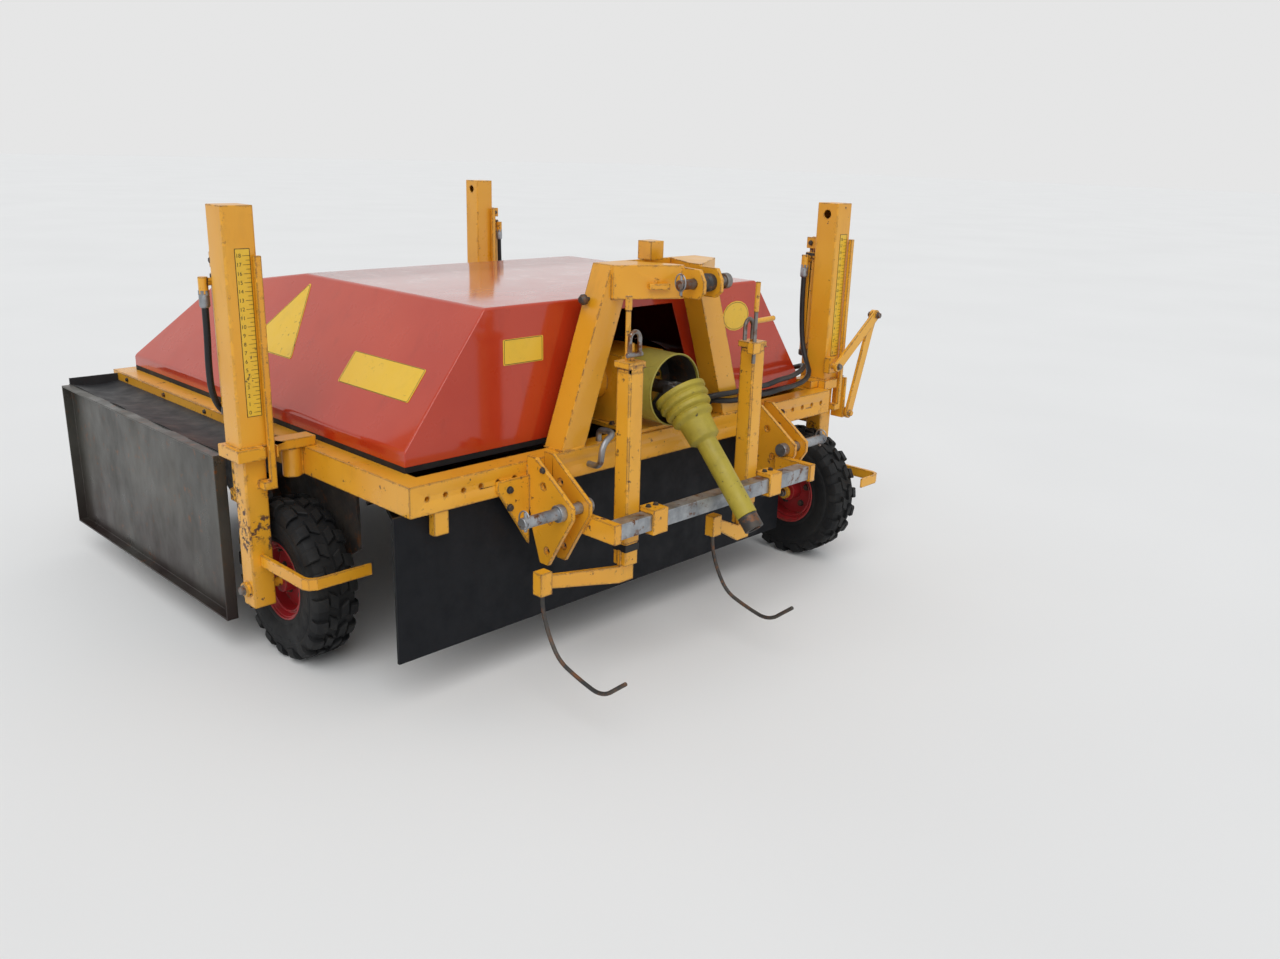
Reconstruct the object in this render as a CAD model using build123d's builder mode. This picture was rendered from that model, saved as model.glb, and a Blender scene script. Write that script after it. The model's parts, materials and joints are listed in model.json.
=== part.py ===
import os
from collections import namedtuple
from math import asin, atan2, cos, degrees, hypot, pi, radians, sin, sqrt, tan

from build123d import *

os.makedirs("parts", exist_ok=True)

# Lengths are in mm, Z is up and the ground is at 0. The hitch faces -Y, and X is 0 at the
# middle of the frame. Left and right are those of a viewer who looks along +Y at the hitch.

# The row's origin is the middle of the footprint, so every place is moved by these two.
MID_X = 22.75
MID_Y = 749

# Frame
FRAME_HALF = 802
FRAME_DEPTH = 1650
FRAME_TOP = 550
BEAM_H = 73
BEAM_W = 60
BEAM_LOW = FRAME_TOP - BEAM_H
FRAME_IN = FRAME_HALF - BEAM_W
HOLE_FIRST = 47
HOLE_PITCH = 50
HOLE_COUNT = 6
HOLE_DROP = 35
HOLE_R = 6
HOLE_DEPTH = 20
SKIRT_LUG_W = 40
SKIRT_LUG_H = 58

# Hood of folded sheet on a rubber seal
SEAL_H = 14
SEAL_W = 12
HOOD_MARGIN = 55
HOOD_FRONT = 96
HOOD_REAR_GAP = 45
HOOD_LIP = 35
HOOD_RISE = 344
HOOD_LEAN = 4
HOOD_SIDE_RUN = 238
HOOD_FLAT_RUN = 822
HOOD_KNEE_RUN = 225
HOOD_KNEE_DROP = 71
HOOD_SHEET = 3
MOUTH_LOW_HALF = 262
MOUTH_TOP_HALF = 140
MOUTH_DROP = 38
HOOD_Z0 = FRAME_TOP + SEAL_H
HOOD_TOP = HOOD_Z0 + HOOD_RISE
HOOD_HALF = FRAME_HALF - HOOD_MARGIN
HOOD_TOP_HALF = HOOD_HALF - HOOD_SIDE_RUN
HOOD_BACK = FRAME_DEPTH - HOOD_REAR_GAP
HOOD_TOP_FRONT = HOOD_FRONT + HOOD_LEAN
HOOD_TOP_BACK = HOOD_TOP_FRONT + HOOD_FLAT_RUN
HOOD_KNEE_Y = HOOD_BACK - HOOD_KNEE_RUN
HOOD_KNEE_Z = HOOD_TOP - HOOD_KNEE_DROP

# Rotor, its housing and the side plates that carry it
RUN = 0.05
ROTOR_Y = 760
ROTOR_DROP = 205
ROTOR_TUBE_R = 70
ROTOR_REACH = 235
ROTOR_GAP = 44
FLAIL_W = 44
FLAIL_T = 12
FLAIL_SPACING = 92
FLAIL_MARGIN = 40
JOURNAL_R = 25
BEARING_R = 52
BEARING_W = 22
TUNNEL_GAP = 27
TUNNEL_SHEET = 5
WING_RISE = 70
SIDE_PLATE = 8
SIDE_FRONT = 320
SIDE_BACK_LEFT = 1040
SIDE_BACK_RIGHT = 1420
SIDE_TOP_DROP = 30
SIDE_LOW_DROP = 130
SIDE_END_DROP = 45
ROTOR_Z = FRAME_TOP - ROTOR_DROP
ROTOR_HALF = FRAME_IN - SIDE_PLATE - ROTOR_GAP
TUNNEL_R = ROTOR_REACH + TUNNEL_GAP

# Headstock
LEG_OUT_LOW = 350
LEG_OUT_TOP = 192
LEG_W = 78
LEG_Y0 = 4
LEG_D = 67
HEAD_RISE = 450
ARM_H = 84
TIE_HALF = 95
TIE_T = 12
STUB_HALF = 24
STUB_H = 48
TOP_PIN_REACH = 132
TOP_PIN_DROP = 42
TOP_PIN_R = 12.7
TOP_PIN_HALF = 92
TOP_PIN_HEAD_R = 20
CLEVIS_IN = 27
CLEVIS_T = 12
EAR_NOSE = 34
HEAD_TOP = FRAME_TOP + HEAD_RISE
ARM_LOW = HEAD_TOP - ARM_H
TOP_PIN_Y = -TOP_PIN_REACH
TOP_PIN_Z = HEAD_TOP - TOP_PIN_DROP
LEG_Y1 = LEG_Y0 + LEG_D

# Lower hitch: two plates a side, a pin through both, and a bar from side to side
HITCH_IN = 400
HITCH_OUT = 467
HITCH_T = 12
HITCH_PIN_REACH = 128
HITCH_PIN_DROP = 98
HITCH_PIN_R = 14
HITCH_PIN_OUT = 123
HITCH_RISE = 15
HITCH_FOOT = 175
HITCH_NOSE = 35
HITCH_PIN_Y = -HITCH_PIN_REACH
HITCH_PIN_Z = FRAME_TOP - HITCH_PIN_DROP
HITCH_PIN_END = HITCH_OUT + HITCH_PIN_OUT
BAR_AHEAD = 85
BAR_BELOW = 24
BAR_S = 40
BAR_WALL = 5
BAR_CLIP = 23
BAR_HALF = HITCH_IN - BAR_CLIP
BAR_Y = HITCH_PIN_Y - BAR_AHEAD
BAR_TOP = HITCH_PIN_Z - BAR_BELOW
BAR_LOW = BAR_TOP - BAR_S

# Stand tubes clamped to the bar, and the ground feelers that hang from their feet
STAND_S = 48
STAND_WALL = 4
STAND_CORNER = 7
STAND_BELOW = 76
STAND_ABOVE = 372
STAND_FOOT = 44
ARM_T = 12
CLAMP_W = 52
CLAMP_T = 12
FEELER_R = 5
SOCKET_W = 34
STAND_Y = BAR_Y + BAR_S / 2 + STAND_S / 2
STAND_LOW = BAR_TOP - STAND_BELOW
STAND_HIGH = BAR_TOP + STAND_ABOVE

# Drive: gearbox, its round shield, and the guarded shaft that lies on the bar
PTO_RISE = 120
PTO_Y = -60
PTO_LEN = 420
PTO_TUBE_R = 28
PTO_REST_GAP = 5.4
PTO_SPLINE_R = 17.5
PTO_SOCKET = 34
FORK_IN = 17
FORK_OUT = 26
CROSS_R = 8
CAN_R = 95
CAN_SHEET = 3
CAN_NECK_R = 62
CAN_Y0 = -50
CAN_Y1 = 62
BOX_HALF = 82
BOX_Y0 = 72
BOX_Y1 = 270
BOX_BASE_T = 12
BOX_BASE_Y1 = 300
BOX_ABOVE = 80
BOX_CROSS_R = 48
PTO_Z = FRAME_TOP + PTO_RISE

# Rubber skirts and the outlet at the left side
SKIRT_T = 8
SKIRT_LOW = 120
FRONT_SKIRT_Y = 28
FRONT_SKIRT_LEFT = FRAME_HALF + 24
FRONT_SKIRT_RIGHT = FRAME_HALF - 202
REAR_SKIRT_LEFT = FRAME_HALF - 67
REAR_SKIRT_RIGHT = FRAME_HALF - 242
REAR_SKIRT_IN = 38
OUTLET_REACH = 148
PANEL_Y0 = 570
PANEL_Y1 = 1590
PANEL_LOW = 92
PANEL_DROP = 20
PANEL_T = 4
PANEL_EDGE = 5
PANEL_LIP = 30
PANEL_X = -FRAME_HALF - OUTLET_REACH
PANEL_TOP = FRAME_TOP - PANEL_DROP

# Wheels
TYRE_R = 210
TYRE_W = 118
RIM_R = 101
LUG_COUNT = 20
LUG_L = 34
LUG_H = 21.5
LUG_ROOT = TYRE_R - 22
LUG_TIP = LUG_ROOT + LUG_H
AXLE_R = 12.5
WHEEL_OFF = 101
LUG_CORNER = hypot(LUG_TIP, LUG_L / 2)
CORNER_TURN = radians(180 / LUG_COUNT) - atan2(LUG_L / 2, LUG_TIP)
AXLE_Z = max(LUG_TIP, LUG_CORNER * cos(CORNER_TURN))

# Wheel stations: a post on the frame, a leg that slides in it and a cylinder beside them
POST_S = 77
POST_WALL = 5
POST_CORNER = 6
POST_RISE = 25
POST_H = 555
COLLAR_T = 30
COLLAR_OUT = 12.5
HUB_R = 23
SIGHT_R = 13
LEG_GAP = 5
LEG_CORNER = 5
LEG_WALL = 5
LEG_END = 45
LEG_TOP_DROP = 180
LEG_UP = 50
STOP_GAP = 5
GAUGE_W = 16
GAUGE_T = 12
GAUGE_GAP = 6
GAUGE_X = 32
GAUGE_FOOT = 20
GAUGE_TOP_DROP = 110
CYL_GAP = 6.5
CYL_R = 23
CYL_BORE_R = 18
ROD_R = 12.5
EYE_S = 19
PORT_OUT = 44
POST_BASE = FRAME_TOP + POST_RISE
POST_TOP = POST_BASE + POST_H
COLLAR_LOW = POST_BASE - COLLAR_T
LEG_S = POST_S - 2 * (POST_WALL + LEG_GAP)
CYL_OFF = POST_S / 2 + CYL_GAP + CYL_R
BAND_AHEAD = 42
BAND_T = 6
BAND_H = 30
BAND_Z = AXLE_Z + 62.4

# side: where the wheel lies; cyl_dx, cyl_dy: where the cylinder stands; band_past: the band's
# end beyond the wheel's middle
Station = namedtuple("Station", "name x y side cyl_dx cyl_dy band_past")
STATIONS = [
    Station("left", -FRAME_HALF - 134.5, 468.5, 1, 0, 1, TYRE_W / 2 + 6),
    Station("right", FRAME_HALF + 51.5, 73.5, -1, 0, 1, 0),
    Station("rear", FRAME_HALF - 63.5, FRAME_DEPTH + 88, -1, 1, 0, 0),
]

# x: the tube's middle; socket_x: the near side of the feeler's socket
Stand = namedtuple("Stand", "name x socket_x")
STANDS = [Stand("left", -292, -580), Stand("right", 168, 25)]


def at(x, y, z):
    return (x - MID_X, y - MID_Y, z)


def plane_yz(x):
    return Plane(origin=at(x, 0, 0), x_dir=(0, 1, 0), z_dir=(1, 0, 0))


def plane_xz(y):
    return Plane(origin=at(0, y, 0), x_dir=(1, 0, 0), z_dir=(0, -1, 0))


def plane_xy(z):
    return Plane(origin=at(0, 0, z))


def slab(x0, x1, y0, y1, z0, z1, mode=Mode.ADD):
    with Locations(at((x0 + x1) / 2, (y0 + y1) / 2, (z0 + z1) / 2)):
        Box(abs(x1 - x0), abs(y1 - y0), abs(z1 - z0), mode=mode)


def square_up(x, y, size, corner, z0, z1, mode=Mode.ADD):
    with BuildSketch(plane_xy(z0)) as section:
        with Locations((x, y)):
            RectangleRounded(size, size, corner)
    extrude(section.sketch, amount=z1 - z0, mode=mode)


def rod(start, end, radius, mode=Mode.ADD):
    run = Vector(*end) - Vector(*start)
    with BuildSketch(Plane(origin=at(*start), z_dir=run)) as disc:
        Circle(radius)
    extrude(disc.sketch, amount=run.length, mode=mode)


def prism_x(points, x0, x1, mode=Mode.ADD):
    with BuildSketch(plane_yz(min(x0, x1))) as outline:
        Polygon(*points, align=None)
    extrude(outline.sketch, amount=abs(x1 - x0), mode=mode)


def prism_y(points, y0, y1, mode=Mode.ADD):
    with BuildSketch(plane_xz(y0)) as outline:
        Polygon(*points, align=None)
    extrude(outline.sketch, amount=y0 - y1, mode=mode)


def prism_z(points, z0, z1, mode=Mode.ADD):
    with BuildSketch(plane_xy(z0)) as outline:
        Polygon(*points, align=None)
    extrude(outline.sketch, amount=z1 - z0, mode=mode)


def bend_radii(points):
    """The largest arc that the shorter run at each corner leaves room for."""
    radii = []
    for before, corner, after in zip(points, points[1:], points[2:]):
        run_in = Vector(*corner) - Vector(*before)
        run_out = Vector(*after) - Vector(*corner)
        half_turn = radians(run_in.get_angle(run_out)) / 2
        radii.append(0.45 * min(run_in.length, run_out.length) / tan(half_turn))
    return radii


def pipe(points, radius):
    with BuildLine() as route:
        FilletPolyline(*[at(*p) for p in points], radius=bend_radii(points))
    with BuildSketch(Plane(origin=route.line @ 0, z_dir=route.line % 0)) as ring:
        Circle(radius)
    sweep(ring.sketch, path=route.line)


# Frame

with BuildPart() as main_frame:
    slab(-FRAME_HALF, FRAME_HALF, 0, FRAME_DEPTH, BEAM_LOW, FRAME_TOP)
    slab(-FRAME_IN, FRAME_IN, BEAM_W, FRAME_DEPTH - BEAM_W, BEAM_LOW, FRAME_TOP, Mode.SUBTRACT)
    for side in (-1, 1):
        for k in range(HOLE_COUNT):
            x = side * (FRAME_HALF - HOLE_FIRST - k * HOLE_PITCH)
            z = FRAME_TOP - HOLE_DROP
            rod((x, 0, z), (x, HOLE_DEPTH, z), HOLE_R, Mode.SUBTRACT)
    lug_x = -FRAME_IN + 7
    slab(lug_x, lug_x + SKIRT_LUG_W, LEG_Y0, FRONT_SKIRT_Y - 2, BEAM_LOW - SKIRT_LUG_H, BEAM_LOW)
main_frame.part.label = "main_frame"
export_step(main_frame.part, "parts/main_frame.step")

with BuildPart() as hood_seal:
    slab(-HOOD_HALF, HOOD_HALF, HOOD_FRONT, HOOD_BACK, FRAME_TOP, HOOD_Z0)
    seal_in = HOOD_HALF - SEAL_W
    slab(-seal_in, seal_in, HOOD_FRONT + SEAL_W, HOOD_BACK - SEAL_W, FRAME_TOP, HOOD_Z0, Mode.SUBTRACT)
    slab(-MOUTH_LOW_HALF, MOUTH_LOW_HALF, HOOD_FRONT, HOOD_FRONT + SEAL_W, FRAME_TOP, HOOD_Z0,
         Mode.SUBTRACT)
hood_seal.part.label = "hood_seal"
export_step(hood_seal.part, "parts/hood_seal.step")


def hood_body(inset):
    lip = HOOD_Z0 + HOOD_LIP
    side = [
        (HOOD_FRONT + inset, HOOD_Z0),
        (HOOD_FRONT + inset, lip),
        (HOOD_TOP_FRONT + inset, HOOD_TOP - inset),
        (HOOD_TOP_BACK, HOOD_TOP - inset),
        (HOOD_KNEE_Y - inset / 2, HOOD_KNEE_Z - inset),
        (HOOD_BACK - inset, lip),
        (HOOD_BACK - inset, HOOD_Z0),
    ]
    across = [
        (-HOOD_HALF + inset, HOOD_Z0),
        (-HOOD_HALF + inset, lip),
        (-HOOD_TOP_HALF + inset, HOOD_TOP),
        (HOOD_TOP_HALF - inset, HOOD_TOP),
        (HOOD_HALF - inset, lip),
        (HOOD_HALF - inset, HOOD_Z0),
    ]
    with BuildPart() as body:
        prism_x(side, -HOOD_HALF, HOOD_HALF)
        prism_y(across, 0, FRAME_DEPTH, Mode.INTERSECT)
    return body.part


with BuildPart() as hood:
    add(hood_body(0))
    add(hood_body(HOOD_SHEET), mode=Mode.SUBTRACT)
    mouth = [
        (-MOUTH_LOW_HALF, HOOD_Z0 - 5),
        (-MOUTH_TOP_HALF, HOOD_TOP - MOUTH_DROP),
        (MOUTH_TOP_HALF, HOOD_TOP - MOUTH_DROP),
        (MOUTH_LOW_HALF, HOOD_Z0 - 5),
    ]
    prism_y(mouth, HOOD_FRONT - 10, HOOD_FRONT + 30, Mode.SUBTRACT)
hood.part.label = "hood"
export_step(hood.part, "parts/hood.step")

# Cutting chamber

with BuildPart() as side_plates:
    for side, back_y in ((-1, SIDE_BACK_LEFT), (1, SIDE_BACK_RIGHT)):
        outer = side * FRAME_IN
        inner = side * (FRAME_IN - SIDE_PLATE)
        shape = [
            (SIDE_FRONT, ROTOR_Z - SIDE_END_DROP),
            (SIDE_FRONT, FRAME_TOP - SIDE_TOP_DROP),
            (back_y, FRAME_TOP - SIDE_TOP_DROP),
            (back_y, ROTOR_Z - SIDE_END_DROP),
            (back_y - 140, ROTOR_Z - SIDE_LOW_DROP),
            (SIDE_FRONT + 140, ROTOR_Z - SIDE_LOW_DROP),
        ]
        prism_x(shape, inner, outer)
        rod((inner, ROTOR_Y, ROTOR_Z), (outer, ROTOR_Y, ROTOR_Z), JOURNAL_R + 11, Mode.SUBTRACT)
side_plates.part.label = "side_plates"
export_step(side_plates.part, "parts/side_plates.step")

with BuildPart() as tunnel:
    wide = FRAME_IN - SIDE_PLATE
    shell_r = TUNNEL_R + TUNNEL_SHEET
    wing_z = ROTOR_Z + WING_RISE
    with BuildSketch(plane_yz(-wide)):
        with Locations((ROTOR_Y, ROTOR_Z)):
            Circle(shell_r)
            Circle(TUNNEL_R, mode=Mode.SUBTRACT)
        with Locations((ROTOR_Y, wing_z - shell_r)):
            Rectangle(3 * shell_r, 2 * shell_r, mode=Mode.SUBTRACT)
    extrude(amount=2 * wide)
    reach = sqrt(TUNNEL_R**2 - WING_RISE**2)
    roof_top = BEAM_LOW + TUNNEL_SHEET
    slab(-wide, wide, BEAM_W, ROTOR_Y - reach, BEAM_LOW, roof_top)
    slab(-wide, wide, ROTOR_Y + reach, FRAME_DEPTH - BEAM_W, BEAM_LOW, roof_top)
    for y in (ROTOR_Y - reach - TUNNEL_SHEET, ROTOR_Y + reach):
        slab(-wide, wide, y, y + TUNNEL_SHEET, wing_z, roof_top)
tunnel.part.label = "tunnel"
export_step(tunnel.part, "parts/tunnel.step")

with BuildPart() as rotor_bearings:
    for side in (-1, 1):
        face = side * FRAME_IN
        rod((face, ROTOR_Y, ROTOR_Z), (face + side * BEARING_W, ROTOR_Y, ROTOR_Z), BEARING_R)
        rod((face - 60, ROTOR_Y, ROTOR_Z), (face + 60, ROTOR_Y, ROTOR_Z), JOURNAL_R + RUN, Mode.SUBTRACT)
rotor_bearings.part.label = "rotor_bearings"
export_step(rotor_bearings.part, "parts/rotor_bearings.step")

with BuildPart() as rotor:
    rod((-ROTOR_HALF, ROTOR_Y, ROTOR_Z), (ROTOR_HALF, ROTOR_Y, ROTOR_Z), ROTOR_TUBE_R)
    journal_end = FRAME_IN + BEARING_W - 6
    rod((-journal_end, ROTOR_Y, ROTOR_Z), (journal_end, ROTOR_Y, ROTOR_Z), JOURNAL_R)
    span = 2 * (ROTOR_HALF - FLAIL_MARGIN)
    count = int(span / FLAIL_SPACING)
    for k in range(count):
        x = -span / 2 + (k + 0.5) * span / count
        for spin in (90 * k + 45, 90 * k + 225):
            out = Vector(0, cos(radians(spin)), sin(radians(spin)))
            base = Vector(*at(x, ROTOR_Y, ROTOR_Z)) + out * (ROTOR_TUBE_R - 5)
            with BuildSketch(Plane(origin=base, x_dir=(1, 0, 0), z_dir=out)):
                Rectangle(FLAIL_W, FLAIL_T)
            extrude(amount=ROTOR_REACH - ROTOR_TUBE_R + 5)
rotor.part.label = "rotor"
export_step(rotor.part, "parts/rotor.step")

# Headstock

with BuildPart() as headstock:
    for side in (-1, 1):
        low = side * LEG_OUT_LOW
        top = side * LEG_OUT_TOP
        wide = side * LEG_W
        leg = [(low, FRAME_TOP), (top, HEAD_TOP), (top - wide, HEAD_TOP), (low - wide, FRAME_TOP)]
        prism_y(leg, LEG_Y0, LEG_Y1)
        arm = [
            (top, LEG_Y1),
            (top, LEG_Y0 - 8),
            (top - side * 30, LEG_Y0 - 26),
            (side * (CLEVIS_IN + CLEVIS_T), TOP_PIN_Y + 40),
            (side * CLEVIS_IN, TOP_PIN_Y + 40),
            (side * CLEVIS_IN, TOP_PIN_Y + 75),
            (side * (TIE_HALF - 5), LEG_Y1),
        ]
        prism_z(arm, ARM_LOW, HEAD_TOP)
        ear = [
            (TOP_PIN_Y + 60, ARM_LOW + 4),
            (TOP_PIN_Y + 60, HEAD_TOP - 4),
            (TOP_PIN_Y - 18, HEAD_TOP - 6),
            (TOP_PIN_Y - EAR_NOSE, TOP_PIN_Z + 8),
            (TOP_PIN_Y - EAR_NOSE, TOP_PIN_Z - 22),
            (TOP_PIN_Y - 14, ARM_LOW + 4),
        ]
        prism_x(ear, side * CLEVIS_IN, side * (CLEVIS_IN + CLEVIS_T))
    slab(-TIE_HALF, TIE_HALF, LEG_Y1 - TIE_T, LEG_Y1, ARM_LOW, HEAD_TOP)
    slab(-STUB_HALF, STUB_HALF, LEG_Y1 - 40, LEG_Y1 + 8, HEAD_TOP, HEAD_TOP + STUB_H)
    slab(-100, -58, -64, -40, HEAD_TOP - 48, HEAD_TOP - 34)
    pin_run = CLEVIS_IN + CLEVIS_T + 20
    rod((-pin_run, TOP_PIN_Y, TOP_PIN_Z), (pin_run, TOP_PIN_Y, TOP_PIN_Z), TOP_PIN_R, Mode.SUBTRACT)
headstock.part.label = "headstock"
export_step(headstock.part, "parts/headstock.step")

with BuildPart() as top_link_pin:
    rod((-TOP_PIN_HALF, TOP_PIN_Y, TOP_PIN_Z), (TOP_PIN_HALF, TOP_PIN_Y, TOP_PIN_Z), TOP_PIN_R)
    rod((TOP_PIN_HALF - 18, TOP_PIN_Y, TOP_PIN_Z), (TOP_PIN_HALF, TOP_PIN_Y, TOP_PIN_Z), TOP_PIN_HEAD_R)
top_link_pin.part.label = "top_link_pin"
export_step(top_link_pin.part, "parts/top_link_pin.step")

# Lower hitch

HITCH_PLATE = [
    (0, FRAME_TOP + HITCH_RISE),
    (-30, FRAME_TOP + HITCH_RISE),
    (HITCH_PIN_Y - HITCH_NOSE, HITCH_PIN_Z + 18),
    (HITCH_PIN_Y - HITCH_NOSE, HITCH_PIN_Z - 12),
    (HITCH_PIN_Y + 8, HITCH_PIN_Z - 80),
    (HITCH_PIN_Y + 50, BEAM_LOW - HITCH_FOOT),
    (HITCH_PIN_Y + 80, BEAM_LOW - HITCH_FOOT),
    (-20, BEAM_LOW - 97),
    (0, BEAM_LOW),
]
# y and z from the pin of the spare holes, all of one size
SPARE_HOLES = [(68, 48), (44, -32), (54, -112)]
SPARE_R = 9

for side, word in ((-1, "left"), (1, "right")):
    with BuildPart() as hitch:
        for inner_x in (HITCH_IN, HITCH_OUT - HITCH_T):
            x0 = side * inner_x
            x1 = side * (inner_x + HITCH_T)
            prism_x(HITCH_PLATE, x0, x1)
            for dy, dz in SPARE_HOLES:
                y = HITCH_PIN_Y + dy
                z = HITCH_PIN_Z + dz
                rod((x0, y, z), (x1, y, z), SPARE_R, Mode.SUBTRACT)
            rod((x0, HITCH_PIN_Y, HITCH_PIN_Z), (x1, HITCH_PIN_Y, HITCH_PIN_Z), HITCH_PIN_R, Mode.SUBTRACT)
        web_in = side * (HITCH_IN + HITCH_T)
        web_out = side * (HITCH_OUT - HITCH_T)
        slab(web_in, web_out, -50, -38, BEAM_LOW - 147, BEAM_LOW - 37)
        gusset = [
            (side * HITCH_OUT, BEAM_LOW - 137),
            (side * (HITCH_OUT + 96), BEAM_LOW + 16),
            (side * (HITCH_OUT + 96), BEAM_LOW + 40),
            (side * HITCH_OUT, BEAM_LOW + 40),
        ]
        prism_y(gusset, -10, 0)
        slab(side * BAR_HALF, side * HITCH_IN, BAR_Y - 26, HITCH_PIN_Y + 18, BAR_LOW - 6, BAR_TOP + 4)
    hitch.part.label = "hitch_" + word
    export_step(hitch.part, "parts/hitch_" + word + ".step")

    with BuildPart() as hitch_pin:
        head = side * (HITCH_IN - 22)
        rod((head, HITCH_PIN_Y, HITCH_PIN_Z), (side * HITCH_PIN_END, HITCH_PIN_Y, HITCH_PIN_Z), HITCH_PIN_R)
        rod((side * HITCH_OUT, HITCH_PIN_Y, HITCH_PIN_Z),
            (side * (HITCH_OUT + 18), HITCH_PIN_Y, HITCH_PIN_Z), HITCH_PIN_R + 7)
        rod((head, HITCH_PIN_Y, HITCH_PIN_Z), (side * HITCH_IN, HITCH_PIN_Y, HITCH_PIN_Z), HITCH_PIN_R + 5)
    hitch_pin.part.label = "hitch_pin_" + word
    export_step(hitch_pin.part, "parts/hitch_pin_" + word + ".step")

with BuildPart() as crossbar:
    slab(-BAR_HALF, BAR_HALF, BAR_Y - BAR_S / 2, BAR_Y + BAR_S / 2, BAR_LOW, BAR_TOP)
    bar_in = BAR_S / 2 - BAR_WALL
    slab(-BAR_HALF, BAR_HALF, BAR_Y - bar_in, BAR_Y + bar_in, BAR_LOW + BAR_WALL, BAR_TOP - BAR_WALL,
         Mode.SUBTRACT)
crossbar.part.label = "crossbar"
export_step(crossbar.part, "parts/crossbar.step")

# Stand tubes, with their feeler arms and feelers

for st in STANDS:
    half = STAND_S / 2
    with BuildPart() as stand:
        square_up(st.x, STAND_Y, STAND_S, STAND_CORNER, STAND_LOW, STAND_HIGH)
        square_up(st.x, STAND_Y, STAND_S - 2 * STAND_WALL, STAND_CORNER - STAND_WALL, STAND_LOW,
                  STAND_HIGH - 6, Mode.SUBTRACT)
        slab(st.x - half - 4, st.x + half + 4, STAND_Y - half, STAND_Y + half + 4,
             STAND_HIGH - 16, STAND_HIGH)
        slab(st.x - half + 1, st.x + half - 1, STAND_Y - half + 1, STAND_Y + half - 1,
             STAND_HIGH - 26, STAND_HIGH - 6, Mode.SUBTRACT)
        slab(st.x - 7, st.x + 7, STAND_Y - 6, STAND_Y + 6, STAND_HIGH, STAND_HIGH + 42)
        x0 = st.x + half
        x1 = x0 + CLAMP_W
        front = BAR_Y - BAR_S / 2
        back = BAR_Y + BAR_S / 2 + 8
        slab(x0, x1, front - 6, front, BAR_LOW - CLAMP_T, BAR_TOP + CLAMP_T)
        slab(x0, x1, front - 6, back, BAR_TOP, BAR_TOP + CLAMP_T)
        slab(x0, x1, front - 6, back, BAR_LOW - CLAMP_T, BAR_LOW)
    stand.part.label = "stand_" + st.name
    export_step(stand.part, "parts/stand_" + st.name + ".step")

    with BuildPart() as feeler_arm:
        socket_far = st.socket_x + SOCKET_W
        shape = [
            (st.x - half, STAND_LOW - 20),
            (st.x + half, STAND_LOW - 20),
            (st.x + half, STAND_LOW - 107),
            (st.x - half, STAND_LOW - 107),
            (socket_far - 4, STAND_LOW - 56),
            (socket_far - 4, STAND_LOW - 22),
            (st.x - half, STAND_LOW - 62),
        ]
        prism_y(shape, STAND_Y - ARM_T / 2, STAND_Y + ARM_T / 2)
        square_up(st.x, STAND_Y, STAND_FOOT, 5, STAND_LOW - 60, STAND_LOW)
        slab(st.socket_x, socket_far, STAND_Y - 16, STAND_Y + 14, STAND_LOW - 67, STAND_LOW - 10)
        feeler_x = st.socket_x + SOCKET_W / 2
        rod((feeler_x, STAND_Y, STAND_LOW - 67), (feeler_x, STAND_Y, STAND_LOW - 22), FEELER_R, Mode.SUBTRACT)
    feeler_arm.part.label = "feeler_arm_" + st.name
    export_step(feeler_arm.part, "parts/feeler_arm_" + st.name + ".step")

    with BuildPart() as feeler:
        pipe([
            (feeler_x, STAND_Y, STAND_LOW - 22),
            (feeler_x, STAND_Y, STAND_LOW - 100),
            (feeler_x, STAND_Y - 22, STAND_LOW - 160),
            (feeler_x, STAND_Y - 60, STAND_LOW - 215),
            (feeler_x, STAND_Y - 130, STAND_LOW - 236),
            (feeler_x, STAND_Y - 205, STAND_LOW - 250),
            (feeler_x, STAND_Y - 277, STAND_LOW - 190),
        ], FEELER_R)
    feeler.part.label = "feeler_" + st.name
    export_step(feeler.part, "parts/feeler_" + st.name + ".step")

# Drive

with BuildPart() as gearbox:
    base_top = FRAME_TOP + BOX_BASE_T
    slab(-TIE_HALF, TIE_HALF, 5, BOX_BASE_Y1, FRAME_TOP, base_top)
    slab(-BOX_HALF, BOX_HALF, BOX_Y0, BOX_Y1, base_top, PTO_Z + BOX_ABOVE)
    rod((0, CAN_Y1 - 4, PTO_Z), (0, BOX_Y0, PTO_Z), CAN_NECK_R)
    cross_half = BOX_HALF + BOX_CROSS_R
    rod((-cross_half, 170, PTO_Z), (cross_half, 170, PTO_Z), BOX_CROSS_R)
gearbox.part.label = "gearbox"
export_step(gearbox.part, "parts/gearbox.step")

with BuildPart() as pto_can:
    rod((0, CAN_Y0, PTO_Z), (0, CAN_Y1, PTO_Z), CAN_R)
    rod((0, CAN_Y0 - 1, PTO_Z), (0, CAN_Y1 - 4, PTO_Z), CAN_R - CAN_SHEET, Mode.SUBTRACT)
    rod((0, CAN_Y1 - 4, PTO_Z), (0, CAN_Y1, PTO_Z), CAN_NECK_R, Mode.SUBTRACT)
pto_can.part.label = "pto_can"
export_step(pto_can.part, "parts/pto_can.step")

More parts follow.
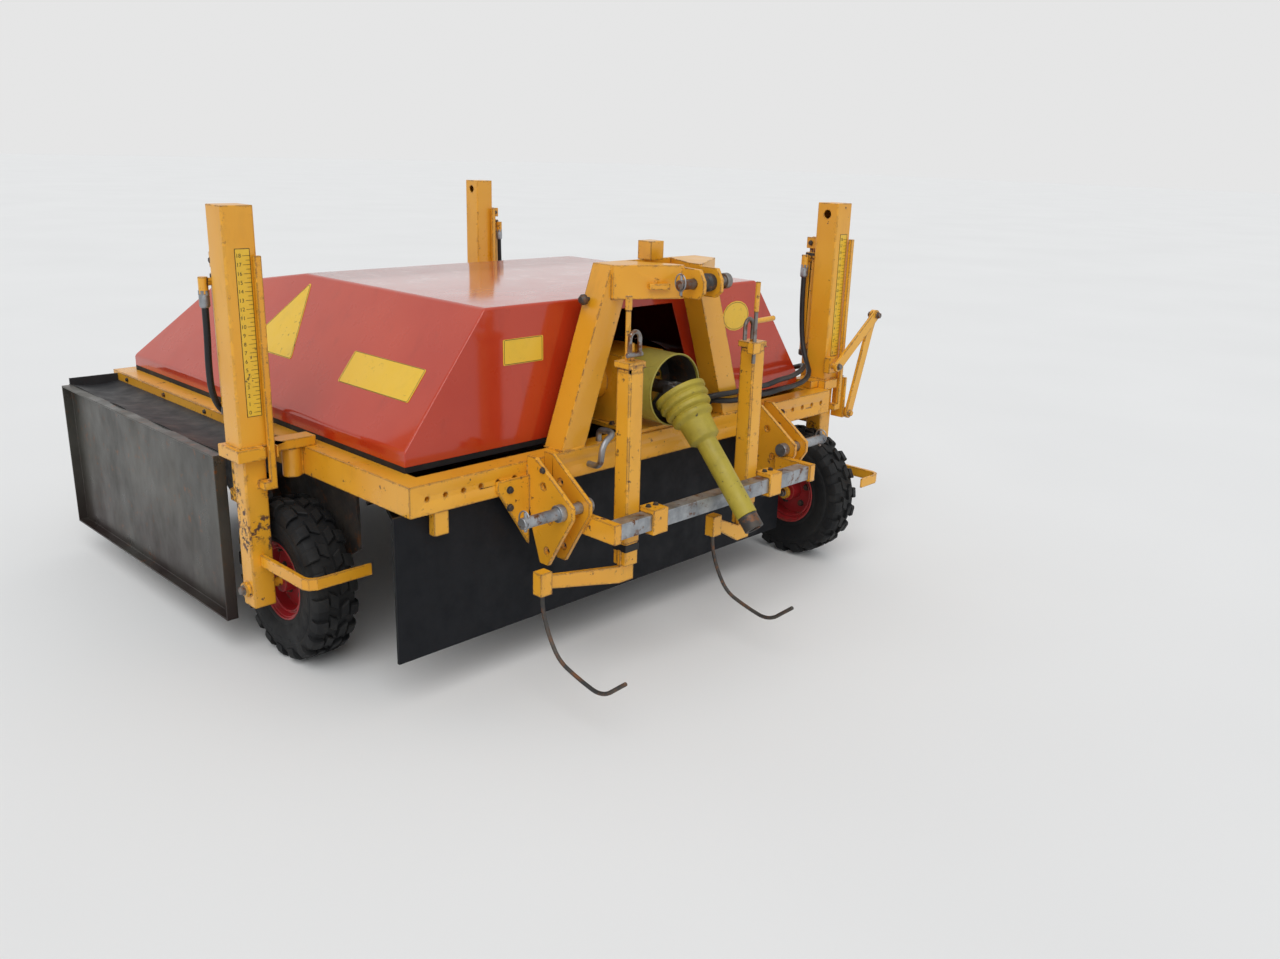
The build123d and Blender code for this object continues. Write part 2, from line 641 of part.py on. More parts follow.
with BuildPart() as input_shaft:
    rod((0, CAN_Y1 - 4, PTO_Z), (0, PTO_Y + 28, PTO_Z), PTO_SPLINE_R)
    slab(-FORK_OUT, FORK_OUT, PTO_Y + 22, PTO_Y + 32, PTO_Z - 16, PTO_Z + 16)
    for side in (-1, 1):
        slab(side * FORK_IN, side * FORK_OUT, PTO_Y, PTO_Y + 30, PTO_Z - 16, PTO_Z + 16)
        rod((side * FORK_IN, PTO_Y, PTO_Z), (side * FORK_OUT, PTO_Y, PTO_Z), 16)
    rod((-FORK_OUT, PTO_Y, PTO_Z), (FORK_OUT, PTO_Y, PTO_Z), CROSS_R + RUN, Mode.SUBTRACT)
input_shaft.part.label = "input_shaft"
export_step(input_shaft.part, "parts/input_shaft.step")

# The guard's tube lies just over the front edge of the bar.
edge_run = PTO_Y - (BAR_Y - BAR_S / 2)
edge_drop = PTO_Z - BAR_TOP
PTO_DROP = atan2(edge_drop, edge_run) - asin((PTO_TUBE_R + PTO_REST_GAP) / hypot(edge_run, edge_drop))


def down_shaft(dist):
    return (0, PTO_Y - dist * cos(PTO_DROP), PTO_Z - dist * sin(PTO_DROP))


with BuildPart() as pto_guard:
    shaft_dir = Vector(0, -cos(PTO_DROP), -sin(PTO_DROP))
    across = Plane(origin=at(*down_shaft(0)), x_dir=(1, 0, 0), z_dir=(0, -shaft_dir.Z, shaft_dir.Y))
    with BuildSketch(across):
        with BuildLine():
            outside = Polyline((66, 8), (72, 8), (72, 20))
            at_rib = outside @ 1
            for rib_r, rib_end in ((69, 42), (64, 64), (57, 87)):
                groove = Line(at_rib, (rib_r - 5, rib_end - 16))
                rise = Line(groove @ 1, (rib_r, rib_end - 10))
                flat = Line(rise @ 1, (rib_r, rib_end))
                at_rib = flat @ 1
            Polyline(at_rib, (45, 98), (42, 150), (PTO_TUBE_R, 160), (PTO_TUBE_R, PTO_LEN - 40),
                     (22, PTO_LEN - 40), (22, 150), (38, 140), (40, 96), (60, 24), (66, 8))
        make_face()
    revolve(axis=Axis(at(*down_shaft(0)), tuple(shaft_dir)))
pto_guard.part.label = "pto_guard"
export_step(pto_guard.part, "parts/pto_guard.step")

with BuildPart() as pto_shaft:
    rod(down_shaft(0), down_shaft(PTO_LEN), 15)
    rod(down_shaft(40), down_shaft(PTO_LEN), 22)
    rod((-FORK_IN + 1, PTO_Y, PTO_Z), (FORK_IN - 1, PTO_Y, PTO_Z), 15)
    rod((-FORK_OUT, PTO_Y, PTO_Z), (FORK_OUT, PTO_Y, PTO_Z), CROSS_R)
    rod(down_shaft(PTO_LEN - 40), down_shaft(PTO_LEN), 26)
    rod(down_shaft(PTO_LEN - PTO_SOCKET), down_shaft(PTO_LEN + 1), PTO_SPLINE_R, Mode.SUBTRACT)
pto_shaft.part.label = "pto_shaft"
export_step(pto_shaft.part, "parts/pto_shaft.step")

# Skirts and side outlet

with BuildPart() as front_skirt:
    slab(-FRONT_SKIRT_LEFT, FRONT_SKIRT_RIGHT, FRONT_SKIRT_Y, FRONT_SKIRT_Y + SKIRT_T, SKIRT_LOW, BEAM_LOW)
front_skirt.part.label = "front_skirt"
export_step(front_skirt.part, "parts/front_skirt.step")

with BuildPart() as rear_skirt:
    y = FRAME_DEPTH - REAR_SKIRT_IN
    slab(-REAR_SKIRT_LEFT, REAR_SKIRT_RIGHT, y, y + SKIRT_T, SKIRT_LOW, BEAM_LOW)
rear_skirt.part.label = "rear_skirt"
export_step(rear_skirt.part, "parts/rear_skirt.step")

with BuildPart() as outlet_cover:
    roof = [
        (-FRAME_HALF, FRAME_TOP - 3),
        (PANEL_X - PANEL_T, PANEL_TOP + 4),
        (PANEL_X - PANEL_T, PANEL_TOP),
        (-FRAME_HALF, FRAME_TOP - 8),
    ]
    prism_y(roof, PANEL_Y0 + 20, PANEL_Y1 + 20)
    end_wall = [
        (-FRAME_HALF, FRAME_TOP - 5),
        (PANEL_X, PANEL_TOP + 2),
        (PANEL_X, PANEL_TOP - 70),
        (-FRAME_HALF, BEAM_LOW + 4),
    ]
    prism_y(end_wall, PANEL_Y1 + 20 - PANEL_EDGE, PANEL_Y1 + 20)
outlet_cover.part.label = "outlet_cover"
export_step(outlet_cover.part, "parts/outlet_cover.step")

with BuildPart() as outlet_panel:
    slab(PANEL_X - PANEL_T, PANEL_X, PANEL_Y0, PANEL_Y1, PANEL_LOW, PANEL_TOP)
    for y in (PANEL_Y0, PANEL_Y1 - PANEL_EDGE):
        slab(PANEL_X - PANEL_LIP, PANEL_X, y, y + PANEL_EDGE, PANEL_LOW, PANEL_TOP)
    for z in (PANEL_LOW, PANEL_TOP - PANEL_EDGE):
        slab(PANEL_X - PANEL_LIP, PANEL_X, PANEL_Y0, PANEL_Y1, z, z + PANEL_EDGE)
outlet_panel.part.label = "outlet_panel"
export_step(outlet_panel.part, "parts/outlet_panel.step")

# Wheel stations

LUG_LOW = COLLAR_LOW - LEG_UP - 77
ROD_LOW = LUG_LOW + 22
BARREL_LOW = POST_BASE + 65
BARREL_TOP = POST_TOP - 158
CLEVIS_Z = BARREL_TOP + 30
GAUGE_LOW = COLLAR_LOW - LEG_UP - STOP_GAP - GAUGE_FOOT


def foot_of(st):
    """The bracket that joins a post to the frame."""
    if st.name == "left":
        hub_x = -FRAME_HALF - HUB_R - 3
        slab(st.x, -FRAME_HALF, st.y - 24, st.y + 24, POST_BASE - POST_RISE, POST_BASE)
        rod((hub_x, st.y, BEAM_LOW), (hub_x, st.y, POST_BASE), HUB_R)
        slab(hub_x, -FRAME_HALF, st.y - 12, st.y + 12, BEAM_LOW, FRAME_TOP)
        slab(hub_x, -FRAME_HALF + 30, st.y - 24, st.y + 24, FRAME_TOP, POST_BASE)
    if st.name == "right":
        slab(FRAME_HALF, st.x - 22, st.y - 12, st.y + 50, BEAM_LOW, POST_BASE - POST_RISE)
        slab(FRAME_HALF - 40, st.x, st.y - 24, st.y + 50, FRAME_TOP, POST_BASE)
    if st.name == "rear":
        slab(st.x - 44, st.x + 2, FRAME_DEPTH - 40, st.y, FRAME_TOP, POST_BASE)
        slab(st.x - 44, st.x + 2, FRAME_DEPTH, st.y, BEAM_LOW, FRAME_TOP)


for st in STATIONS:
    half = POST_S / 2
    hole = POST_S - 2 * POST_WALL
    collar = half + COLLAR_OUT
    cyl_x = st.x + st.cyl_dx * CYL_OFF
    cyl_y = st.y + st.cyl_dy * CYL_OFF
    gauge_x = st.x + GAUGE_X
    gauge_y = st.y - half - GAUGE_GAP - GAUGE_T / 2
    pin_a = (cyl_x - 22 * st.cyl_dy, cyl_y - 22 * st.cyl_dx, CLEVIS_Z)
    pin_b = (cyl_x + 22 * st.cyl_dy, cyl_y + 22 * st.cyl_dx, CLEVIS_Z)

    with BuildPart() as post:
        square_up(st.x, st.y, POST_S, POST_CORNER, COLLAR_LOW, POST_TOP)
        slab(st.x - collar, st.x + collar, st.y - collar, st.y + collar, COLLAR_LOW, POST_BASE)
        foot_of(st)
        square_up(st.x, st.y, hole, 1, BEAM_LOW - 30, POST_TOP - 4, Mode.SUBTRACT)
        slab(gauge_x - GAUGE_W / 2 - 6, gauge_x + GAUGE_W / 2 + 6, st.y - collar - 20, st.y - half,
             BEAM_LOW - 30, POST_BASE + 5, Mode.SUBTRACT)
        sight_x = st.x + st.side * half
        rod((sight_x - st.side * 12, st.y, POST_TOP - 34), (sight_x + st.side * 2, st.y, POST_TOP - 34),
            SIGHT_R, Mode.SUBTRACT)
        for ear in (-18, 10):
            ear_x = st.x + (st.cyl_dx * half or ear)
            ear_y = st.y + (st.cyl_dy * half or ear)
            ear_run = CYL_OFF - half + 16.5
            slab(ear_x, ear_x + (st.cyl_dx * ear_run or 8), ear_y, ear_y + (st.cyl_dy * ear_run or 8),
                 CLEVIS_Z - 17, CLEVIS_Z + 18)
        rod(pin_a, pin_b, 6, Mode.SUBTRACT)
    post.part.label = "post_" + st.name
    export_step(post.part, "parts/post_" + st.name + ".step")

    with BuildPart() as cylinder:
        rod((cyl_x, cyl_y, BARREL_LOW), (cyl_x, cyl_y, BARREL_TOP), CYL_R)
        rod((cyl_x, cyl_y, BARREL_LOW + 24), (cyl_x, cyl_y, BARREL_TOP - 30), CYL_BORE_R, Mode.SUBTRACT)
        rod((cyl_x, cyl_y, BARREL_LOW), (cyl_x, cyl_y, BARREL_LOW + 24), ROD_R + RUN, Mode.SUBTRACT)
        eye = EYE_S / 2
        slab(cyl_x - eye, cyl_x + eye, cyl_y - eye, cyl_y + eye, BARREL_TOP, CLEVIS_Z + 12)
        rod(pin_a, pin_b, 6)
        port = (cyl_x - PORT_OUT * st.cyl_dy, cyl_y - PORT_OUT * st.cyl_dx)
        rod((cyl_x, cyl_y, BARREL_TOP - 18), (*port, BARREL_TOP - 18), 9)
        rod((*port, BARREL_TOP - 6), (*port, BARREL_TOP - 47), 11)
    cylinder.part.label = "cylinder_" + st.name
    export_step(cylinder.part, "parts/cylinder_" + st.name + ".step")

    s = LEG_S / 2
    wheel_x = st.x + st.side * WHEEL_OFF

    with BuildPart() as leg:
        square_up(st.x, st.y, LEG_S, LEG_CORNER, AXLE_Z - LEG_END, POST_TOP - LEG_TOP_DROP)
        square_up(st.x, st.y, LEG_S - 2 * LEG_WALL, 1, AXLE_Z + LEG_END, POST_TOP - LEG_TOP_DROP,
                  Mode.SUBTRACT)
        rod_side = ROD_R + 3.5
        near_x = st.x + s if st.cyl_dx else cyl_x - rod_side
        near_y = st.y + s if st.cyl_dy else cyl_y - rod_side
        slab(near_x, cyl_x + rod_side, near_y, cyl_y + rod_side, LUG_LOW, LUG_LOW + 30)
        rod((cyl_x, cyl_y, ROD_LOW), (cyl_x, cyl_y, BARREL_TOP - 92), ROD_R)
        slab(gauge_x - GAUGE_W / 2, gauge_x + GAUGE_W / 2, gauge_y - GAUGE_T / 2, gauge_y + GAUGE_T / 2,
             GAUGE_LOW, POST_TOP - GAUGE_TOP_DROP)
        slab(st.x + 6, gauge_x + GAUGE_W / 2, gauge_y - GAUGE_T / 2, st.y - s,
             GAUGE_LOW, GAUGE_LOW + GAUGE_FOOT)
        far = st.x - st.side * (s + 12)
        rod((far, st.y, AXLE_Z), (wheel_x + st.side * 66, st.y, AXLE_Z), AXLE_R)
        rod((far, st.y, AXLE_Z), (st.x - st.side * s, st.y, AXLE_Z), 19)
        rod((wheel_x + st.side * 52, st.y, AXLE_Z), (wheel_x + st.side * 66, st.y, AXLE_Z), 21)
    leg.part.label = "leg_" + st.name
    export_step(leg.part, "parts/leg_" + st.name + ".step")

    with BuildPart() as band:
        front = st.y - TYRE_R - BAND_AHEAD
        out_a = st.x - st.side * BAND_T
        in_a = st.x + st.side * BAND_T
        end = wheel_x + st.side * st.band_past
        path = [
            (out_a, st.y - s),
            (out_a, front + 26),
            (out_a + st.side * 8, front + 8),
            (out_a + st.side * 26, front),
            (end, front),
            (end, front + BAND_T),
            (in_a + st.side * 22, front + BAND_T),
            (in_a + st.side * 6, front + 14),
            (in_a, front + 28),
            (in_a, st.y - s),
        ]
        prism_z(path, BAND_Z, BAND_Z + BAND_H)
    band.part.label = "band_" + st.name
    export_step(band.part, "parts/band_" + st.name + ".step")

    wheel_plane = Plane(origin=at(wheel_x, st.y, AXLE_Z), x_dir=(1, 0, 0), z_dir=(0, -1, 0))
    wheel_axis = Axis(at(wheel_x, st.y, AXLE_Z), (1, 0, 0))

    with BuildPart() as tyre:
        w = TYRE_W / 2
        with BuildSketch(wheel_plane):
            Polygon((-w + 14, RIM_R), (-w, RIM_R + 30), (-w, TYRE_R - 42), (-w + 18, TYRE_R - 12),
                    (0, TYRE_R - 8), (w - 18, TYRE_R - 12), (w, TYRE_R - 42), (w, RIM_R + 30),
                    (w - 14, RIM_R), align=None)
        revolve(axis=wheel_axis)
        for k in range(LUG_COUNT):
            for row_turn, x0, x1 in ((0, -w + 4, -6), (0.5, 6, w - 4)):
                turn = 2 * pi * (k + row_turn) / LUG_COUNT
                out = Vector(0, cos(turn), sin(turn))
                base = Vector(*at(wheel_x, st.y, AXLE_Z)) + out * LUG_ROOT
                with BuildSketch(Plane(origin=base, x_dir=(1, 0, 0), z_dir=out)):
                    with Locations(((x0 + x1) / 2, 0)):
                        Rectangle(x1 - x0, LUG_L)
                extrude(amount=LUG_H)
    tyre.part.label = "tyre_" + st.name
    export_step(tyre.part, "parts/tyre_" + st.name + ".step")

    with BuildPart() as rim:
        w = TYRE_W / 2 - 14
        hub = WHEEL_OFF - s - 26.5
        with BuildSketch(wheel_plane):
            Polygon((-w, RIM_R), (-w, RIM_R - 7), (-w + 12, RIM_R - 12), (-w + 12, RIM_R - 20),
                    (-4, RIM_R - 20), (-4, 30), (-hub, 30), (-hub, AXLE_R + RUN), (hub, AXLE_R + RUN),
                    (hub, 30), (4, 30), (4, RIM_R - 20), (w - 12, RIM_R - 20), (w - 12, RIM_R - 12),
                    (w, RIM_R - 7), (w, RIM_R), align=None)
        revolve(axis=wheel_axis)
    rim.part.label = "rim_" + st.name
    export_step(rim.part, "parts/rim_" + st.name + ".step")

# Folded link beside the right post

right = STATIONS[1]
LINK_T = 10
LINK_W = 34
LINK_PIN_R = 9
link_face = right.y - POST_S / 2
upper_eye = (right.x - 31.5, POST_BASE + 50)
lower_eye = (right.x + 68.5, POST_BASE - 119)
knee = (right.x + 166.5, POST_BASE + 198)
upper_face = link_face - 22
upper_y = upper_face - 25
lower_y = upper_y + LINK_T

with BuildPart() as link_bracket:
    slab(upper_eye[0] - 16, upper_eye[0] + 18, upper_face, link_face, upper_eye[1] - 25, upper_eye[1] + 25)
    rod((upper_eye[0], upper_face, upper_eye[1]), (upper_eye[0], upper_y, upper_eye[1]), LINK_PIN_R)
    collar_x = right.x + POST_S / 2 + COLLAR_OUT
    slab(collar_x, collar_x + LINK_T, upper_face, link_face + 25, lower_eye[1] - 16, POST_BASE)
    slab(collar_x, lower_eye[0] + 14, upper_face, upper_face + LINK_T, lower_eye[1] - 16, lower_eye[1] + 16)
    rod((lower_eye[0], upper_face, lower_eye[1]), (lower_eye[0], upper_y, lower_eye[1]), LINK_PIN_R)
link_bracket.part.label = "link_bracket"
export_step(link_bracket.part, "parts/link_bracket.step")

with BuildPart() as folded_link:
    for start, end, y in ((upper_eye, knee, upper_y), (knee, lower_eye, lower_y)):
        run = Vector(end[0] - start[0], end[1] - start[1])
        middle = ((start[0] + end[0]) / 2, (start[1] + end[1]) / 2, 0)
        with BuildSketch(plane_xz(y)) as bar:
            with Locations(Location(middle, (0, 0, degrees(atan2(run.Y, run.X))))):
                SlotCenterToCenter(run.length, LINK_W)
        extrude(bar.sketch, amount=-LINK_T)
    rod((knee[0], lower_y + LINK_T + 2, knee[1]), (knee[0], upper_y - 4, knee[1]), LINK_PIN_R + 1)
    for eye in (upper_eye, lower_eye):
        rod((eye[0], upper_face, eye[1]), (eye[0], upper_y, eye[1]), LINK_PIN_R, Mode.SUBTRACT)
folded_link.part.label = "folded_link"
export_step(folded_link.part, "parts/folded_link.step")

# Hoses from the cylinders' ports to the frame. The right and rear ones lie side by side over
# the front beam and end between the legs of the headstock.

HOSE_R = 8
PORT_Z = BARREL_TOP - 47
FRONT_RUN = LEG_Y0 - 20
left, right, rear = STATIONS

with BuildPart() as hose_left:
    x = left.x - PORT_OUT
    y = left.y + CYL_OFF
    land_x = -FRAME_HALF + 27
    pipe([
        (x, y, PORT_Z),
        (x, y, POST_BASE + 265),
        (x - 3, y + 3, POST_BASE + 185),
        (x + 4, y + 14, POST_BASE + 110),
        (x + 42, y + 44, POST_BASE + 54),
        (x + 112, y + 84, POST_BASE + 48),
        (land_x - 26, y + 122, POST_BASE + 62),
        (land_x, y + 152, POST_BASE + 42),
        (land_x, y + 152, FRAME_TOP),
    ], HOSE_R)
hose_left.part.label = "hose_left"
export_step(hose_left.part, "parts/hose_left.step")

with BuildPart() as hose_right:
    x = right.x - PORT_OUT
    y = right.y + CYL_OFF
    land_x = LEG_OUT_LOW - LEG_W - 40
    pipe([
        (x, y, PORT_Z),
        (x, y, POST_BASE + 265),
        (x + 2, y - 3, POST_BASE + 180),
        (x - 4, y - 17, POST_BASE + 105),
        (x - 20, y - 50, POST_BASE + 53),
        (x - 58, y - 92, POST_BASE + 29),
        (x - 120, y - 120, POST_BASE + 17),
        (x - 200, FRONT_RUN + 22, POST_BASE + 13),
        (x - 280, FRONT_RUN + 8, POST_BASE + 19),
        (x - 360, FRONT_RUN, POST_BASE + 15),
        (x - 440, FRONT_RUN - 2, POST_BASE + 21),
        (x - 510, FRONT_RUN + 2, POST_BASE + 15),
        (land_x + 14, FRONT_RUN + 12, POST_BASE + 21),
        (land_x, 36, POST_BASE + 19),
        (land_x, 36, FRAME_TOP),
    ], HOSE_R)
hose_right.part.label = "hose_right"
export_step(hose_right.part, "parts/hose_right.step")

with BuildPart() as hose_rear:
    x = rear.x + CYL_OFF
    y = rear.y - PORT_OUT
    ledge_x = FRAME_HALF - 27
    ledge_z = FRAME_TOP + HOSE_R + 4
    down = [
        (x, y, PORT_Z),
        (x, y, POST_BASE + 265),
        (x + 2, y - 3, POST_BASE + 185),
        (x - 2, y - 18, POST_BASE + 105),
        (x - 14, y - 54, POST_BASE + 45),
        (ledge_x + 4, y - 114, ledge_z + 18),
    ]
    ledge_back = y - 194
    ledge_front = right.y + 180
    runs = 8
    along = []
    for k in range(runs):
        sway = 2 if k % 2 else -2
        y = ledge_back + (ledge_front - ledge_back) * k / (runs - 1)
        along.append((ledge_x + sway, y, ledge_z - sway / 2))
    bundle_x = right.x - PORT_OUT
    land_x = LEG_OUT_LOW - LEG_W - 76
    over = [
        (ledge_x - 6, right.y + 100, POST_BASE + 18),
        (ledge_x - 17, right.y + 38, POST_BASE + 38),
        (ledge_x - 34, right.y - 10, POST_BASE + 55),
        (bundle_x - 120, FRONT_RUN + 54, POST_BASE + 47),
        (bundle_x - 200, FRONT_RUN + 38, POST_BASE + 38),
        (bundle_x - 280, FRONT_RUN + 20, POST_BASE + 44),
        (bundle_x - 360, FRONT_RUN + 8, POST_BASE + 38),
        (bundle_x - 440, FRONT_RUN + 4, POST_BASE + 45),
        (bundle_x - 510, FRONT_RUN + 4, POST_BASE + 39),
        (land_x + 38, FRONT_RUN + 4, POST_BASE + 43),
        (land_x, 34, POST_BASE + 27),
        (land_x, 34, FRAME_TOP),
    ]
    pipe(down + along + over, HOSE_R)
hose_rear.part.label = "hose_rear"
export_step(hose_rear.part, "parts/hose_rear.step")

# Bent rail in front of the beam

with BuildPart() as front_loop:
    rail_z = FRAME_TOP - 45
    pipe([
        (-262, 0, rail_z),
        (-262, -42, rail_z),
        (-262, -50, FRAME_TOP + 18),
        (-205, -36, FRAME_TOP + 34),
        (-205, 24, FRAME_TOP + 30),
        (-205, 24, FRAME_TOP),
    ], HOSE_R)
front_loop.part.label = "front_loop"
export_step(front_loop.part, "parts/front_loop.step")
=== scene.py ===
import json
from math import cos, pi, radians, sin

import bmesh
import bpy
from mathutils import Matrix, Vector


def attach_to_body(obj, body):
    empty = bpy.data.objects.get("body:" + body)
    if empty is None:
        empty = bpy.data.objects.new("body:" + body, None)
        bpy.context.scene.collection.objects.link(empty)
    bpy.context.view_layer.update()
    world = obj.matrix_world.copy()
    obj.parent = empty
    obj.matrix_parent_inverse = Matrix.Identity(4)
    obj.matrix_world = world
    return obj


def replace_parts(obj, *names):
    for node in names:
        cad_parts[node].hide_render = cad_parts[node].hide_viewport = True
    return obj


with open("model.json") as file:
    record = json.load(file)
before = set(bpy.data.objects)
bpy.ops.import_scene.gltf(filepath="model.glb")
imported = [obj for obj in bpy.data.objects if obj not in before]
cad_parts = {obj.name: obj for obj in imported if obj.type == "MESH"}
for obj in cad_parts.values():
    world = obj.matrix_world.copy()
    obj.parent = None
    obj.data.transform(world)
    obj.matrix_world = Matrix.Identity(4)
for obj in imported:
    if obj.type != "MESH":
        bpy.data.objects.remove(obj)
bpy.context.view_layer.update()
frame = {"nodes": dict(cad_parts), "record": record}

# Lengths are in metres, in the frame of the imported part. The part's middle line lies at X = MID.
MID = -0.02275
FRONT = -0.749
FRAME_TOP = 0.55


def at(x, y, z):
    """A place given from the middle of the front beam's face, in metres."""
    return Vector((x + MID, y + FRONT, z))


def turns(count, start=0.0):
    """The angles of one whole turn in equal steps."""
    return [start + 2 * pi * k / count for k in range(count)]


# Camera: fitted to the photograph, in the part's frame
CAM_PLACE = at(-2.0693, -1.9108, 1.2791)
CAM_YAW = radians(46.28)
CAM_PITCH = radians(17.19)
CAM_ROLL = radians(1.778)
FOCAL_PIXELS = 1074.275
IMAGE_WIDTH = 1280
SENSOR = 36.0


def make_camera():
    forward = Vector((sin(CAM_YAW) * cos(CAM_PITCH), cos(CAM_YAW) * cos(CAM_PITCH), -sin(CAM_PITCH)))
    level = Vector((cos(CAM_YAW), -sin(CAM_YAW), 0))
    upright = level.cross(forward)
    right = cos(CAM_ROLL) * level + sin(CAM_ROLL) * upright
    up = cos(CAM_ROLL) * upright - sin(CAM_ROLL) * level
    turn = Matrix((right, up, -forward)).transposed().to_4x4()
    data = bpy.data.cameras.new("camera")
    data.sensor_width = SENSOR
    data.lens = FOCAL_PIXELS / IMAGE_WIDTH * SENSOR
    data.clip_end = 200
    camera = object_from(data, "camera")
    camera.matrix_world = Matrix.Translation(CAM_PLACE) @ turn
    bpy.context.scene.camera = camera


# Materials

# How alike the rounded and the plain normal are on a flat stretch and at an edge
FLAT_ALIKE = 0.995
EDGE_ALIKE = 0.9


class Nodes:
    """A material's node tree with short calls for the nodes that the surfaces here use."""

    def __init__(self, name):
        self.material = bpy.data.materials.new(name)
        self.material.use_nodes = True
        self.tree = self.material.node_tree
        self.shader = self.tree.nodes["Principled BSDF"]
        self.place = self.tree.nodes.new("ShaderNodeTexCoord").outputs["Object"]

    def add(self, kind, inputs=None, **settings):
        node = self.tree.nodes.new("ShaderNode" + kind)
        for key, value in settings.items():
            setattr(node, key, value)
        for socket, value in (inputs or {}).items():
            node.inputs[socket].default_value = value
        return node

    def link(self, out, socket):
        self.tree.links.new(out, socket)

    def set(self, socket, value):
        self.shader.inputs[socket].default_value = value

    def noise(self, scale, detail=3, rough=0.55, stretch=(1, 1, 1)):
        mapping = self.add("Mapping", {"Scale": stretch})
        self.link(self.place, mapping.inputs["Vector"])
        node = self.add("TexNoise", {"Scale": scale, "Detail": detail, "Roughness": rough})
        self.link(mapping.outputs["Vector"], node.inputs["Vector"])
        return node.outputs["Fac"]

    def ramp(self, factor, low, high, start=0.0, end=1.0):
        node = self.add("MapRange", {"From Min": low, "From Max": high, "To Min": start, "To Max": end})
        self.link(factor, node.inputs["Value"])
        return node.outputs["Result"]

    def patches(self, scale, low, high, detail=3, rough=0.55, stretch=(1, 1, 1), start=0.0, end=1.0):
        """Noise that goes from start to end where it rises from low to high."""
        return self.ramp(self.noise(scale, detail, rough, stretch), low, high, start, end)

    def maths(self, operation, first, second):
        """A maths operation on two values, kept between nought and one."""
        node = self.add("Math", operation=operation)
        node.use_clamp = True
        for socket, value in zip(node.inputs, (first, second)):
            if isinstance(value, (int, float)):
                socket.default_value = value
            else:
                self.link(value, socket)
        return node.outputs["Value"]

    def both(self, first, second):
        return self.maths("MULTIPLY", first, second)

    def either(self, first, second):
        return self.maths("MAXIMUM", first, second)

    def mix(self, factor, first, second):
        node = self.add("Mix", data_type="RGBA")
        self.link(factor, node.inputs["Factor"])
        for socket, value in ((node.inputs["A"], first), (node.inputs["B"], second)):
            if isinstance(value, tuple):
                socket.default_value = (*value, 1)
            else:
                self.link(value, socket)
        return node.outputs["Result"]

    def edges(self, radius):
        """One where the surface turns within the radius, nought on flat stretches."""
        bevel = self.add("Bevel", {"Radius": radius}, samples=4)
        geometry = self.add("NewGeometry")
        dot = self.add("VectorMath", operation="DOT_PRODUCT")
        self.link(bevel.outputs["Normal"], dot.inputs[0])
        self.link(geometry.outputs["Normal"], dot.inputs[1])
        return self.ramp(dot.outputs["Value"], FLAT_ALIKE, EDGE_ALIKE)

    def height(self):
        """How far the point is above the ground."""
        split = self.add("SeparateXYZ")
        self.link(self.place, split.inputs["Vector"])
        return split.outputs["Z"]

    def bump(self, height, strength, distance):
        node = self.add("Bump", {"Strength": strength, "Distance": distance})
        self.link(height, node.inputs["Height"])
        self.link(node.outputs["Normal"], self.shader.inputs["Normal"])

    def colour(self, value):
        self.link(value, self.shader.inputs["Base Color"])

    def rough(self, value):
        self.link(value, self.shader.inputs["Roughness"])


STAIN_SHARE = 0.55
SMEAR_SHARE = 0.6
DARK_RUST = (0.045, 0.028, 0.02)
BROWN_RUST = (0.13, 0.055, 0.025)
RUST_SPOT = (0.16, 0.065, 0.025)
EDGE_WIDTH = 0.006
BAND_WIDTH = 0.014
LOW_CHIPS_END = 0.6
LOW_CHIPS_FULL = 0.48


def with_wear(n, chip, wear):
    """Adds chips on the edges and finer ones in the band beside them."""
    worn = n.both(n.edges(EDGE_WIDTH), n.patches(26, 0.56 - wear, 0.6 - wear, 5, 0.75))
    beside = n.both(n.edges(BAND_WIDTH), n.patches(70, 0.62 - wear / 3, 0.64 - wear / 3, 5, 0.75))
    return n.either(chip, n.either(worn, beside))


def with_low_chips(n, chip, low_chips):
    """Adds clusters of chips near the ground."""
    low = n.ramp(n.height(), LOW_CHIPS_END, LOW_CHIPS_FULL)
    clusters = n.both(low, n.patches(7.5, 0.45, 0.5, 2, 0.5, stretch=(1, 1, 0.6)))
    spots = n.patches(64, 0.6 - low_chips, 0.62 - low_chips, 5, 0.75)
    return n.either(chip, n.both(clusters, spots))


def painted(name, colour, faded, chips, wear, low_chips=0.0, rough=0.32, coat=0.25, coat_rough=0.18,
            shine=0.5):
    """Machine paint over dark steel: faded patches, chips down to rust, worn edges and dust."""
    n = Nodes(name)
    tone = n.mix(n.patches(3.2, 0.35, 0.7), colour, faded)
    stain = n.patches(14, 0.56, 0.82, 5, 0.65, stretch=(1, 1, 0.35), end=0.35)
    tone = n.mix(stain, tone, tuple(STAIN_SHARE * c for c in colour))
    spots = n.patches(48, 0.66 - chips, 0.68 - chips, 6, 0.7)
    chip = n.both(spots, n.patches(9, 0.5, 0.56, 3, 0.6))
    if wear:
        chip = with_wear(n, chip, wear)
    if low_chips:
        chip = with_low_chips(n, chip, low_chips)
    n.colour(n.mix(chip, tone, n.mix(n.patches(70, 0.4, 0.6), DARK_RUST, BROWN_RUST)))
    paint_rough = n.patches(11, 0.3, 0.7, 4, start=rough - 0.07, end=rough + 0.12)
    n.rough(n.either(paint_rough, n.ramp(chip, 0, 1, end=0.8)))
    n.set("Coat Weight", coat)
    n.set("Coat Roughness", coat_rough)
    n.set("Specular IOR Level", shine)
    grain = n.patches(160, 0.3, 0.7, 2, end=0.2)
    n.bump(n.maths("SUBTRACT", grain, n.ramp(chip, 0, 1, end=0.2)), 0.25, 0.0012)
    return n.material


